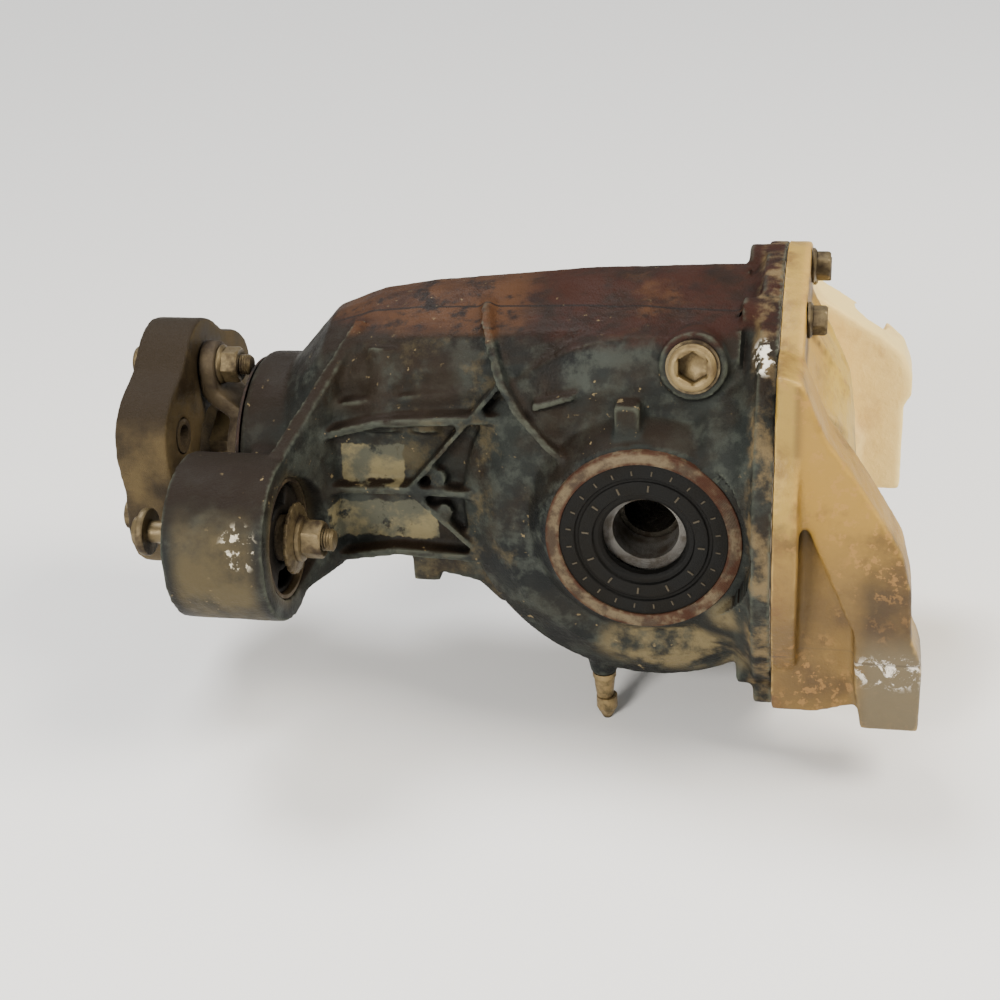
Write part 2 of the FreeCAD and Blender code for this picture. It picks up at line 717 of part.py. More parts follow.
def build_cover_fasteners(back):
    bolts = []
    for index, degrees in enumerate(COVER_BOLT_ANGLES):
        y, z = around_x(dims.cover_bolt_radius, degrees)
        bolts.append(fuse(f"cover_bolt_{index}",
                          cylinder(f"cover_shank_{index}", 4, back - dims.joint_x + 16,
                                   (dims.joint_x - 16, y, z), X_AXIS),
                          cylinder(f"cover_collar_{index}", 9, 2.2, (back, y, z), X_AXIS),
                          hexagon(f"cover_head_{index}", 13, 9.5, (back, y, z), X_AXIS, index * 17)))
    publish("cover_bolts", group("cover_bolt_set", bolts))
    dowels = []
    for index, degrees in enumerate(DOWEL_ANGLES):
        y, z = around_x(dims.cover_bolt_radius, degrees)
        dowels.append(cylinder(f"dowel_{index}", 3, 11, (dims.joint_x - 6, y, z), X_AXIS))
    publish("cover_dowels", group("dowel_set", dowels))


# ---------------------------------------------------------------- plug and breather

def build_filler_plug():
    body = fuse("plug_body", cylinder("plug_thread", 10, 15, filler_point(-11), FILLER_AXIS),
                cylinder("plug_collar", 11.6, 3.2, filler_point(3.6), FILLER_AXIS))
    socket = hexagon("plug_socket", 14, 12, filler_point(-4), FILLER_AXIS, 15)
    publish("filler_plug", cut("plug", body, socket))
    ring = cut("washer", cylinder("washer_disc", 13.2, 1.6, filler_point(2), FILLER_AXIS),
               cylinder("washer_hole", 10, 3, filler_point(1), FILLER_AXIS))
    publish("filler_plug_washer", ring)


def build_breather():
    x, y, top = 262, -56, -104
    down = Z_AXIS * -1
    publish("breather_valve", fuse("valve", cylinder("valve_stem", 3.2, 24, (x, y, top + 12), down),
                                   cylinder("valve_collar", 6.5, 3, (x, y, top), down),
                                   cone("valve_body", 6, 4.6, 13, (x, y, top - 3), down)))
    publish("breather_cap", fuse("cap", cylinder("cap_skirt", 5.8, 7, (x + 1, y, top - 16), down),
                                 cone("cap_tip", 5.8, 2.5, 7, (x + 1, y, top - 23), down)))


# ---------------------------------------------------------------- taper roller bearings

class Bearing:
    """A taper roller bearing about a line: its cup, its cone and its caged rollers.

    The small end of the rollers is at the start and the large end at the end.
    """

    def __init__(self, bore, cup_radius, width, count, slope_degrees=13.0):
        self.bore = number(bore)
        self.cup = number(cup_radius)
        self.width = number(width)
        self.count = count
        self.slope = math.radians(slope_degrees)
        self.middle = (self.bore + self.cup) / 2
        self.roller = (self.cup - self.bore) * 0.25
        self.length = self.width * 0.66
        self.gap = 0.12

    def line(self, position, offset):
        """Radius of a cone parallel to the rollers' axis, at a position along the bearing."""
        rise = (position - self.width / 2) * math.tan(self.slope)
        return self.middle + rise + offset / math.cos(self.slope)

    def cup_outline(self):
        reach = self.roller + self.gap
        end = self.width - CUP_EDGE
        return [(CUP_EDGE, self.cup), (CUP_EDGE, self.line(CUP_EDGE, reach)),
                (end, self.line(end, reach)), (end, self.cup)]

    def cone_outline(self):
        reach = -self.roller - self.gap
        edge = (self.width - self.length * math.cos(self.slope)) / 2 - 0.4
        shoulder = self.width - edge + 1.2
        return [(0, self.bore), (0, self.line(0, reach) + 1.0), (edge - 0.3, self.line(edge, reach) + 1.0),
                (edge - 0.3, self.line(edge, reach)), (shoulder, self.line(shoulder, reach)),
                (shoulder, self.line(self.width - edge, reach) + 3.2),
                (self.width, self.line(self.width, reach) + 3.0), (self.width, self.bore)]

    def rollers(self):
        """The rollers, with a cage of two rims and bars between them."""
        solids = []
        axis = FreeCAD.Vector(math.sin(self.slope), 0, math.cos(self.slope))
        start = FreeCAD.Vector(self.middle, 0, self.width / 2) - axis * (self.length / 2)
        roller = Part.makeCylinder(self.roller, self.length, start, axis)
        pocket = Part.makeCylinder(self.roller + 0.15, self.length + 0.4, start - axis * 0.2, axis)
        low = self.width / 2 - self.length / 2 - 1.2
        high = self.width / 2 + self.length / 2 + 0.6
        thick = 0.6
        cage = spun([(low, self.line(low, -thick)), (low, self.line(low, thick)),
                     (high, self.line(high, thick)), (high, self.line(high, -thick))])
        for index in range(self.count):
            turn = FreeCAD.Rotation(Z_AXIS, index * 360 / self.count)
            solids.append(roller.copy())
            solids[-1].Placement = FreeCAD.Placement(FreeCAD.Vector(), turn)
            hole = pocket.copy()
            hole.Placement = FreeCAD.Placement(FreeCAD.Vector(), turn)
            cage = cage.cut(hole)
        return Part.makeCompound(solids + cage.Solids)


def build_bearing(bearing, names, direction, start, along):
    """Publish a bearing's cup, cone and rollers, from its start along one direction."""
    cup_name, cone_name, roller_name = names
    for name, outline in ((cup_name, bearing.cup_outline()), (cone_name, bearing.cone_outline())):
        placed = [(start + direction * position, radius) for position, radius in outline]
        publish(name, turned(name + "_ring", placed, along=along))
    axis = (X_AXIS if along == "X" else Y_AXIS) * direction
    item = solid(roller_name + "_set", bearing.rollers())
    base = (start, 0, 0) if along == "X" else (dims.axle_x, start, 0)
    place(item, base, axis)
    publish(roller_name, item)


def build_bearings():
    side = Bearing(dims.side_bore, dims.side_cup_radius, dims.side_bearing_width, 19)
    outer_end = dims.side_bearing_y + dims.side_bearing_width
    for sign in (-1, 1):
        name = side_name(sign)
        labels = (f"side_bearing_cup_{name}", f"side_bearing_cone_{name}", f"side_rollers_{name}")
        build_bearing(side, labels, -sign, outer_end * sign, "Y")
    inner = Bearing(dims.inner_bore, dims.inner_cup_radius, dims.inner_bearing_width, 16)
    build_bearing(inner, ("pinion_inner_cup", "pinion_inner_cone", "pinion_inner_rollers"),
                  1, dims.inner_bearing_x, "X")
    outer = Bearing(dims.outer_bore, dims.outer_cup_radius, dims.outer_bearing_width, 14)
    build_bearing(outer, ("pinion_outer_cup", "pinion_outer_cone", "pinion_outer_rollers"),
                  -1, dims.outer_bearing_x + dims.outer_bearing_width, "X")


# ---------------------------------------------------------------- seals and retaining rings

def build_side_seals():
    for side in (-1, 1):
        name = side_name(side)
        face = dims.hub_face - 0.8
        lip = dims.seal_lip_radius
        rim = dims.seal_radius
        steps = [(face - 9.5, rim), (face, rim), (face, rim - 8), (face - 1.4, rim - 8.6),
                 (face - 1.4, rim - 9.6), (face - 0.6, rim - 10.2), (face - 0.6, rim - 16.5),
                 (face - 2.6, rim - 17), (face - 2.6, lip + 1), (face - 3.6, lip), (face - 5, lip + 1.6),
                 (face - 8.6, lip), (face - 9.2, lip + 2), (face - 9.2, lip + 4), (face - 5, lip + 5),
                 (face - 5, rim - 4), (face - 9.5, rim - 4)]
        outline = [(side * position, radius) for position, radius in steps]
        publish(f"side_seal_{name}", turned(f"seal_{name}", outline, along="Y"))
        spring = doc.addObject("Part::Torus", f"garter_{name}")
        bind(spring, "Radius1", lip + 5.2)
        bind(spring, "Radius2", 0.8)
        place(spring, (dims.axle_x, side * (face - 8.0), 0), Y_AXIS)
        publish(f"side_seal_spring_{name}", spring)
        start = dims.side_bearing_y + dims.side_bearing_width - 1
        ring = turned(f"snap_{name}", [(side * start, dims.side_cup_radius - 4),
                                       (side * start, dims.side_cup_radius + 2),
                                       (side * (start + 2), dims.side_cup_radius + 2),
                                       (side * (start + 2), dims.side_cup_radius - 4)], along="Y")
        gap = box(f"snap_gap_{name}", (dims.axle_x - 6, side * 85 - 10, -60),
                  (dims.axle_x + 6, side * 85 + 10, -20))
        publish(f"side_snap_ring_{name}", cut(f"snap_ring_{name}", ring, gap))


def build_pinion_seal():
    start = dims.nose_front_x + 1.5
    tube = dims.hub_tube_radius
    rim = dims.nose_seal_radius
    publish("pinion_seal", turned("nose_seal", [
        (start, rim), (start, tube + 3), (start + 1.5, tube + RUNNING), (start + 3, tube + 1.5),
        (start + 8, tube + RUNNING), (start + 9, tube + 2), (start + 9, tube + 4.5), (start + 3, tube + 5),
        (start + 3, rim - 3), (start + 10, rim - 3), (start + 10, rim)]))


# ---------------------------------------------------------------- front bush and its bolt

def build_bush():
    front = dims.ear_front_x
    rear = dims.ear_rear_x
    centre = (dims.ear_y, dims.ear_z)

    def ring(name, outer, inner, start, end):
        return cut(name, cylinder(name + "_outer", outer, end - start, (start, *centre), X_AXIS),
                   cylinder(name + "_inner", inner, end - start + 2, (start - 1, *centre), X_AXIS))

    inside = dims.bush_radius - 2
    publish("front_bush_sleeve", ring("bush_shell", dims.bush_radius, inside, front + 1, rear - 1))
    rubber = ring("bush_rubber_ring", inside, dims.bush_sleeve_radius, front + 4, rear - 4)
    slots = []
    for side in (-1, 1):
        wedge = Part.makeCylinder(26, 200, FreeCAD.Vector(), X_AXIS, 70)
        core = Part.makeCylinder(17.5, 200, FreeCAD.Vector(), X_AXIS, 70)
        slot = solid(f"bush_slot_{side_name(side)}", wedge.cut(core))
        slot.Placement = FreeCAD.Placement(FreeCAD.Vector(0, number(dims.ear_y), number(dims.ear_z)),
                                           FreeCAD.Rotation(X_AXIS, -35 + (180 if side > 0 else 0)))
        slots.append(slot)
    publish("front_bush_rubber", cut("bush_rubber", rubber, fuse("bush_slots", *slots)))
    publish("front_bush_inner_sleeve", ring("bush_core", dims.bush_sleeve_radius, dims.bolt_radius + 0.3,
                                            front - 4, rear + 2))
    seat = rear + 2
    bolt = fuse("bush_bolt_body",
                cylinder("bush_bolt_shank", dims.bolt_radius, seat + 22 - (front - 23),
                         (front - 23, *centre), X_AXIS),
                cylinder("bush_bolt_collar", 12.7, 4, (front - 27, *centre), X_AXIS),
                hexagon("bush_bolt_head", 16, 4, (front - 31, *centre), X_AXIS))
    publish("front_bush_bolt", bolt)
    washer = cut("bush_washer_body",
                 fuse("bush_washer_disc", cylinder("bush_washer_plate", 18.6, 2.4, (seat, *centre), X_AXIS),
                      cylinder("bush_washer_dish", 15.5, 3.6, (seat, *centre), X_AXIS)),
                 cylinder("bush_washer_hole", dims.bolt_radius + 0.3, 9, (seat - 2, *centre), X_AXIS))
    publish("front_bush_washer", washer)
    nut = fuse("bush_nut_solid", cylinder("bush_nut_collar", 12.2, 2.6, (seat + 3.6, *centre), X_AXIS),
               hexagon("bush_nut_hex", 18, 13, (seat + 3.6, *centre), X_AXIS, 12))
    publish("front_bush_nut", cut("bush_nut", nut,
                                  cylinder("bush_nut_hole", dims.bolt_radius, 30, (seat, *centre), X_AXIS)))


# ---------------------------------------------------------------- coupling and pinion flange

def coupling_outline():
    """Six lobes about the bolt circle, joined by shallow waists."""
    high = number(dims.coupling_radius)
    low = number(dims.coupling_waist)
    corners = []
    for step in range(96):
        angle = 2 * math.pi * step / 96
        wave = (1 + math.cos(6 * angle)) / 2
        radius = low + (high - low) * wave ** 0.8
        corners.append(FreeCAD.Vector(0, radius * math.sin(angle), radius * math.cos(angle)))
    curve = Part.BSplineCurve()
    curve.interpolate(corners, PeriodicFlag=True)
    return Part.Face(Part.Wire(curve.toShape()))


def build_coupling():
    thick = dims.coupling_thickness
    disc = solid("coupling_lobes", coupling_outline().extrude(X_AXIS * number(thick)))
    tools = [cylinder("coupling_centre", dims.coupling_hole_radius, thick + 10, (-5, 0, 0), X_AXIS)]
    sleeves = []
    for index in range(6):
        y, z = around_x(dims.bolt_circle_radius, index * 60)
        tools.append(cylinder(f"coupling_hole_{index}", dims.sleeve_radius, thick + 10, (-5, y, z), X_AXIS))
        outer = cylinder(f"sleeve_outer_{index}", dims.sleeve_radius, thick, (0, y, z), X_AXIS)
        bore = dims.bolt_radius + SLEEVE_PLAY[index % 2]
        inner = cylinder(f"sleeve_inner_{index}", bore, thick + 4, (-2, y, z), X_AXIS)
        sleeves.append(cut(f"coupling_sleeve_{index}", outer, inner))
        y, z = around_x(dims.coupling_radius + 1, index * 60 + 30)
        tools.append(cylinder(f"coupling_dimple_{index}", 7, 4, (-1, y * 0.62, z * 0.62), X_AXIS))
    publish("flex_coupling", cut("coupling_disc", disc, fuse("coupling_tools", *tools)))
    publish("coupling_sleeves", group("coupling_sleeve_set", sleeves))
    bolts = []
    nuts = []
    seat = thick + 10
    for index in range(3):
        y, z = around_x(dims.bolt_circle_radius, index * 120)
        shank = cylinder(f"coupling_shank_{index}", dims.bolt_radius, seat + 18, (0, y, z), X_AXIS)
        collar = cylinder(f"coupling_bolt_collar_{index}", 12.4, 2.8, (-2.8, y, z), X_AXIS)
        head = hexagon(f"coupling_head_{index}", 18, 10.5, (-10.5, y, z), X_AXIS, index * 25)
        bolts.append(fuse(f"coupling_bolt_{index}", shank, collar, head))
        nut = fuse(f"coupling_nut_solid_{index}",
                   hexagon(f"coupling_nut_hex_{index}", 18, 11.5, (seat, y, z), X_AXIS, 10 + index * 31),
                   cylinder(f"coupling_nut_collar_{index}", 11.2, 1.6, (seat, y, z), X_AXIS))
        hole = cylinder(f"coupling_nut_hole_{index}", dims.bolt_radius, 30, (seat - 5, y, z), X_AXIS)
        nuts.append(cut(f"coupling_nut_{index}", nut, hole))
    publish("coupling_bolts", group("coupling_bolt_set", bolts))
    publish("coupling_nuts", group("coupling_nut_set", nuts))


def build_flange():
    """Three forged arms that dish forward from the splined hub to the coupling bolts."""
    front = dims.coupling_thickness
    tube = dims.hub_tube_radius
    hub = turned("flange_hub", [
        (front + 16, 0), (front + 16, tube + 4), (front + 26, tube + 4), (front + 27, tube),
        (dims.outer_bearing_x, tube), (dims.outer_bearing_x, 0)])
    arms = []
    for index in range(3):
        arm = new_body(f"flange_arm_{index}")
        pad = arm.newObject("PartDesign::Pad", f"flange_arm_pad_{index}")
        pad.Profile = sketch_on(arm, "XZ_Plane", [
            (front, 64), (front, 37), (front + 3, 32), (front + 16, 21.5), (front + 26, 21.5),
            (front + 24, 27), (front + 13, 36), (front + 10, 38), (front + 10, 64)])
        pad.Length = 27
        pad.SideType = "Symmetric"
        arm.Tip = pad
        arm.Placement = FreeCAD.Placement(FreeCAD.Vector(), FreeCAD.Rotation(X_AXIS, -index * 120))
        y, z = around_x(dims.bolt_circle_radius, index * 120)
        root_y, root_z = around_x(dims.bolt_circle_radius * 0.4, index * 120)
        tip = fuse(f"arm_form_{index}", cylinder(f"arm_tip_{index}", 13.5, 60, (front - 5, y, z), X_AXIS),
                   cylinder(f"arm_root_{index}", 32, 60, (front - 5, root_y, root_z), X_AXIS))
        arms.append(common(f"arm_shape_{index}", arm, tip))
    holes = [cylinder("flange_bore", dims.outer_bore, 90, (front, 0, 0), X_AXIS)]
    for index in range(3):
        y, z = around_x(dims.bolt_circle_radius, index * 120)
        holes.append(cylinder(f"flange_hole_{index}", dims.bolt_radius + SLEEVE_PLAY[0], 60,
                              (front - 5, y, z), X_AXIS))
    publish("pinion_flange", cut("flange_forging", fuse("flange_solid", hub, *arms),
                                 fuse("flange_holes", *holes)))
    publish("dust_shield", turned("shield", [
        (front + 28.6, tube), (front + 28.6, 46.5), (front + 31.0, 51.4), (front + 32.2, 51.4),
        (front + 32.2, 50.6), (front + 29.8, 46.0), (front + 29.8, tube + 3), (front + 32, tube + 1.2),
        (front + 32, tube)]))
    nut = hexagon("pinion_nut_hex", 36, 13, (front + 3, 0, 0), X_AXIS)
    publish("pinion_nut", cut("pinion_nut_body", nut,
                              cylinder("pinion_nut_hole", 12, 30, (front - 5, 0, 0), X_AXIS)))


# ---------------------------------------------------------------- ring gear and pinion

def final_drive_pair():
    """The ring and pinion forms: same cone distance, face width and spiral."""
    ring = BevelGear(RING_TEETH, PINION_TEETH, number(dims.ring_pitch_radius), number(dims.cone_face_width),
                     0.6, 1.3, math.pi / 2 - 0.25, spiral_degrees=33)
    pinion = BevelGear(PINION_TEETH, RING_TEETH, ring.radius * PINION_TEETH / RING_TEETH,
                       number(dims.cone_face_width), 1.1, 0.8, math.pi / 2 + 0.25, spiral_degrees=33)
    pinion.toe += PINION_TOE_RELIEF / pinion.distance
    return ring, pinion


def build_ring_gear():
    ring, _ = final_drive_pair()
    below = -ring.dedendum
    back = number(dims.ring_back_y)
    bore = number(dims.ring_bore_radius)
    heel = ring.point(below)
    toe = ring.point(below, ring.toe)
    body = [heel, toe, (toe[0], bore), (back, bore), (back, heel[1] - 2), (back - 2, heel[1])]
    gear = ring.shape(body, 0.0, swing=-1, planes=10)
    blank = solid("ring_gear_blank", stand_gear(gear, Y_AXIS * -1, X_AXIS * -1))
    holes = []
    for index in range(RING_BOLT_COUNT):
        angle = math.radians(index * 360 / RING_BOLT_COUNT)
        base = (dims.axle_x + dims.ring_bolt_radius * math.cos(angle), -dims.ring_back_y - 1,
                dims.ring_bolt_radius * math.sin(angle))
        holes.append(cylinder(f"ring_hole_{index}", 5, 15, base, Y_AXIS))
    publish("ring_gear", cut("ring_gear_body", blank, fuse("ring_holes", *holes)))


def build_pinion():
    _, pinion = final_drive_pair()
    apex = number(dims.axle_x)
    heel = pinion.point(-pinion.dedendum)
    toe = pinion.point(-pinion.dedendum, pinion.toe)
    shoulder = apex - number(dims.inner_bearing_x) - number(dims.inner_bearing_width)
    inner = number(dims.inner_bore)
    spacer = apex - number(dims.inner_bearing_x) + 5
    front = apex - number(dims.outer_bearing_x) - number(dims.outer_bearing_width) - 1
    spline = number(dims.outer_bore)
    thread = apex - number(dims.coupling_thickness) - 16
    body = [heel, toe, (toe[0] - 1.5, 0), (thread + 16, 0), (thread + 16, 12), (thread, 12),
            (thread, spline), (front, spline), (front, 18), (spacer, 18), (spacer, inner),
            (shoulder, inner), (shoulder, heel[1] - 1.5)]
    half_pitch = math.pi / PINION_TEETH
    gear = pinion.shape(body, half_pitch, planes=10)
    publish("pinion_gear", solid("pinion_gear_shaft", stand_gear(gear, X_AXIS * -1, Y_AXIS * -1)))
    start = dims.outer_bearing_x + dims.outer_bearing_width
    publish("crush_sleeve", turned("spacer_tube", [
        (start, 18.2), (start, 20.6), (start + 24, 20.6), (start + 31, 23.5), (start + 38, 20.6),
        (dims.inner_bearing_x - 5, 20.6), (dims.inner_bearing_x - 5, 18.2), (start + 38, 18.2),
        (start + 31, 21.1), (start + 24, 18.2)]))


# ---------------------------------------------------------------- differential case

def build_case():
    bearing_end = dims.side_bearing_y + dims.side_bearing_width + 2
    case = turned("case_outside", [
        (-bearing_end, 0), (-bearing_end, dims.side_bore), (-dims.side_bearing_y, dims.side_bore),
        (-dims.side_bearing_y, 31), (-dims.case_flange_y, 36),
        (-dims.case_flange_y, dims.case_flange_radius),
        (-dims.ring_back_y, dims.case_flange_radius), (-dims.ring_back_y, dims.ring_bore_radius),
        (-dims.ring_back_y + 12, dims.ring_bore_radius), (-dims.ring_back_y + 14, dims.case_radius),
        (dims.ring_back_y - 2, dims.case_radius), (dims.case_flange_y, 36), (dims.side_bearing_y, 31),
        (dims.side_bearing_y, dims.side_bore), (bearing_end, dims.side_bore), (bearing_end, 0)], along="Y")
    ball = doc.addObject("Part::Sphere", "case_ball")
    bind(ball, "Radius", dims.case_cavity_radius)
    bind(ball, "Placement.Base.x", dims.axle_x)
    inside = common("case_cavity", ball, cylinder("case_ball_trim", 60, 60, (dims.axle_x, -30, 0), Y_AXIS))
    seats = turned("case_gear_seats", [
        (-43, 0), (-43, 38), (43, 38), (43, 0)], along="Y")
    hub_way = turned("case_hub_way", [
        (-bearing_end - 5, 0), (-bearing_end - 5, 17), (-60, 17), (-60, 19 + RUNNING), (60, 19 + RUNNING),
        (60, 17), (bearing_end + 5, 17), (bearing_end + 5, 0)], along="Y")
    pin_hole = cylinder("cross_pin_hole", dims.cross_pin_radius, 130, (dims.axle_x, 0, -65), Z_AXIS)
    lock_hole = cylinder("lock_pin_hole", 2.5, 75, (dims.axle_x, -60, 49), Y_AXIS)
    windows = [box(f"case_window_{side_name(side)}", (dims.axle_x + side * 30 - 25, -26, -27),
                   (dims.axle_x + side * 30 + 25, 26, 27)) for side in (-1, 1)]
    bolt_holes = []
    bolts = []
    for index in range(RING_BOLT_COUNT):
        angle = math.radians(index * 360 / RING_BOLT_COUNT)
        x = dims.axle_x + dims.ring_bolt_radius * math.cos(angle)
        z = dims.ring_bolt_radius * math.sin(angle)
        bolt_holes.append(cylinder(f"case_bolt_hole_{index}", 5.2, 30,
                                   (x, -dims.case_flange_y - 5, z), Y_AXIS))
        bolts.append(fuse(f"ring_bolt_{index}",
                          cylinder(f"ring_shank_{index}", 5, dims.case_flange_y - dims.ring_back_y + 12,
                                   (x, -dims.case_flange_y, z), Y_AXIS),
                          hexagon(f"ring_head_{index}", 15, 6.4,
                                  (x, -dims.case_flange_y - 6.4, z), Y_AXIS)))
    tools = fuse("case_tools", inside, seats, hub_way, pin_hole, lock_hole, *windows, *bolt_holes)
    publish("differential_case", cut("case_casting", case, tools))
    publish("ring_gear_bolts", group("ring_bolt_set", bolts))
    pin = cylinder("cross_shaft", dims.cross_pin_radius, 104, (dims.axle_x, 0, -52), Z_AXIS)
    publish("cross_pin", cut("cross_shaft_drilled", pin,
                             cylinder("cross_shaft_hole", 2.5, 60, (dims.axle_x, -30, 49), Y_AXIS)))
    publish("cross_pin_lock", cylinder("lock_pin", 2.5, 58, (dims.axle_x, -48, 49), Y_AXIS))


def build_case_gears():
    ratio = PLANET_TEETH / SIDE_TEETH
    side_radius = number(dims.side_gear_pitch_radius)
    face = number(dims.side_gear_face_width)
    bore = number(dims.output_bore_radius)
    gear = BevelGear(SIDE_TEETH, PLANET_TEETH, side_radius, face, 0.75, 1.15, math.pi / 2 - 0.1)
    heel = gear.point(-gear.dedendum)
    toe = gear.point(-gear.dedendum, gear.toe)
    body = [heel, toe, (toe[0] - 2, bore), (60, bore), (60, 19), (41.5, 19), (41.5, 36.8),
            (heel[0] + 6, 36.8)]
    for side in (-1, 1):
        name = side_name(side)
        shape = stand_gear(gear.shape(body, math.pi / SIDE_TEETH), Y_AXIS * side, Z_AXIS)
        publish(f"side_gear_{name}", solid(f"side_gear_form_{name}", shape))
        publish(f"side_gear_washer_{name}", turned(f"side_washer_{name}", [
            (side * 41.6, 19.4), (side * 41.6, 36), (side * 42.9, 36), (side * 42.9, 19.4)], along="Y"))
    planet = BevelGear(PLANET_TEETH, SIDE_TEETH, side_radius * ratio, face, 0.95, 0.95, math.pi / 2 + 0.1)
    heel = planet.point(-planet.dedendum)
    toe = planet.point(-planet.dedendum, planet.toe)
    pin = number(dims.cross_pin_radius) + RUNNING
    back = 42.8
    body = [heel, toe, (toe[0], pin), (back, pin), (back, 13), (back - 3, 19.5)]
    for side, name in ((1, "upper"), (-1, "lower")):
        form = planet.shape(body, 0.0)
        form = form.common(Part.makeSphere(number(dims.case_cavity_radius) - 1.4))
        publish(f"planet_gear_{name}",
                solid(f"planet_form_{name}", stand_gear(form, Z_AXIS * side, Y_AXIS * -1)))
        shell = Part.makeSphere(number(dims.case_cavity_radius) - 0.1)
        shell = shell.cut(Part.makeSphere(number(dims.case_cavity_radius) - 1.2))
        shell = shell.common(Part.makeCylinder(19, 60)).cut(Part.makeCylinder(pin, 60))
        publish(f"planet_washer_{name}",
                solid(f"planet_washer_form_{name}", stand_gear(shell, Z_AXIS * side, Y_AXIS * -1)))


# ---------------------------------------------------------------- build, check and write

build_carrier()
build_cover()
build_filler_plug()
build_breather()
build_bearings()
build_side_seals()
build_pinion_seal()
build_bush()
build_coupling()
build_flange()
build_ring_gear()
build_pinion()
build_case()
build_case_gears()
doc.recompute()

for item in doc.Objects:
    if "Invalid" in item.State or "Error" in item.State:
        raise RuntimeError(f"{item.Label} did not build: {item.State}")

for label, item in parts.items():
    if item.Shape.isNull() or not item.Shape.isValid() or not item.Shape.Solids:
        raise RuntimeError(f"{label} has no valid solid")

os.makedirs("parts", exist_ok=True)
for label, item in parts.items():
    item.Shape.exportStep(f"parts/{label}.step")
    extent = item.Shape.BoundBox
    print(f"{label}: {len(item.Shape.Solids)} solids, {item.Shape.Volume / 1000:.1f} cm3,",
          f"X {extent.XMin:.1f} to {extent.XMax:.1f}, Y {extent.YMin:.1f} to {extent.YMax:.1f},",
          f"Z {extent.ZMin:.1f} to {extent.ZMax:.1f}")
print(len(parts), "sub-parts")
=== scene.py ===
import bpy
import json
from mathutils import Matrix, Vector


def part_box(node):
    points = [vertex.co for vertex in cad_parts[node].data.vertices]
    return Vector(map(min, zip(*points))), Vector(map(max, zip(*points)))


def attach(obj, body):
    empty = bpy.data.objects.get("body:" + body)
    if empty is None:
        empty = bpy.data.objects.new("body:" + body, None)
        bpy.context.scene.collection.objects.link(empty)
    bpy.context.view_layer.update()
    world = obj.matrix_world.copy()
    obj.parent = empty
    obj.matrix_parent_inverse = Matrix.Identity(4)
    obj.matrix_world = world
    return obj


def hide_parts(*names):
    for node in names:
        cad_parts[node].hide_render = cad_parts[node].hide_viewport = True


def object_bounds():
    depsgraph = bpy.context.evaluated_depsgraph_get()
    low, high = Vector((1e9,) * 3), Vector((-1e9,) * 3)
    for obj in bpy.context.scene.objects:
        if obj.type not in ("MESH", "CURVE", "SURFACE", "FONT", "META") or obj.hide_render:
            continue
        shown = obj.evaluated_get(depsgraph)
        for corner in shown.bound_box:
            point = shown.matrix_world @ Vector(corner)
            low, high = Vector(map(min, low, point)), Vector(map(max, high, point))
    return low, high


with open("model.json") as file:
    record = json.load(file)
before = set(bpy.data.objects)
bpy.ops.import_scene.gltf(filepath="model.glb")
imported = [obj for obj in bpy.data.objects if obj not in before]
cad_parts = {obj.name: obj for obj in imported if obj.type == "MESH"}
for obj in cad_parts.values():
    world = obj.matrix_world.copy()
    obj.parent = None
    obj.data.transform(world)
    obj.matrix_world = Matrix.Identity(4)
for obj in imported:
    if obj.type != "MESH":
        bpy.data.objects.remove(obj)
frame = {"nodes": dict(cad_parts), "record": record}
cad_box = [list(corner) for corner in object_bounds()]

import json
import math

import bmesh
import bpy
import numpy as np
from mathutils import Matrix, Vector, noise

# A used rear differential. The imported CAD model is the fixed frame, in metres: X runs rearwards
# along the pinion, Y is the axle and Z is up. The castings, rubber, seals and fasteners are
# rebuilt here with cast fillets, threads and moulded detail; gears and bearings stay as packed.

nodes = frame["nodes"]
slot_of = {entry["node"]: entry["material_slot"] for entry in frame["record"]["subparts"]}
body_of = {node: body for body, members in frame["record"]["behaviour"]["bodies"].items()
           for node in members}
X_AXIS = Vector((1, 0, 0))
Y_AXIS = Vector((0, 1, 0))
MM = 0.001


# ---------------------------------------------------------------- places taken from the frame

def middle(node):
    low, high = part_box(node)
    return (low + high) / 2


def solids_of(node, meld=2e-6):
    """The box of each separate solid in a node; corners closer than meld belong together."""
    shells = bmesh.new()
    shells.from_mesh(nodes[node].data)
    bmesh.ops.remove_doubles(shells, verts=shells.verts, dist=meld)
    boxes = []
    left = set(shells.verts)
    while left:
        front = [left.pop()]
        found = list(front)
        while front:
            for edge in front.pop().link_edges:
                for vert in edge.verts:
                    if vert in left:
                        left.remove(vert)
                        front.append(vert)
                        found.append(vert)
        places = np.array([vert.co for vert in found])
        boxes.append((Vector(places.min(0)), Vector(places.max(0))))
    shells.free()
    return sorted(boxes, key=lambda box: tuple(round(value, 4) for value in box[0]))


AXLE = middle("ring_gear")
AXLE.y = 0.0
SEAL_RECESS = 0.8                                                   # in millimetres
HUB_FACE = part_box("side_seal_far")[1].y + SEAL_RECESS * MM
SEAL_RIM = (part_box("side_seal_near")[1].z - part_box("side_seal_near")[0].z) / 2
EAR = middle("front_bush_sleeve")
JOINT_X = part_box("cover_gasket")[0].x
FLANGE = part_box("cover_gasket")[1].z
MIDDLE_OF_PART = Vector((0.25, 0.0, 0.0))

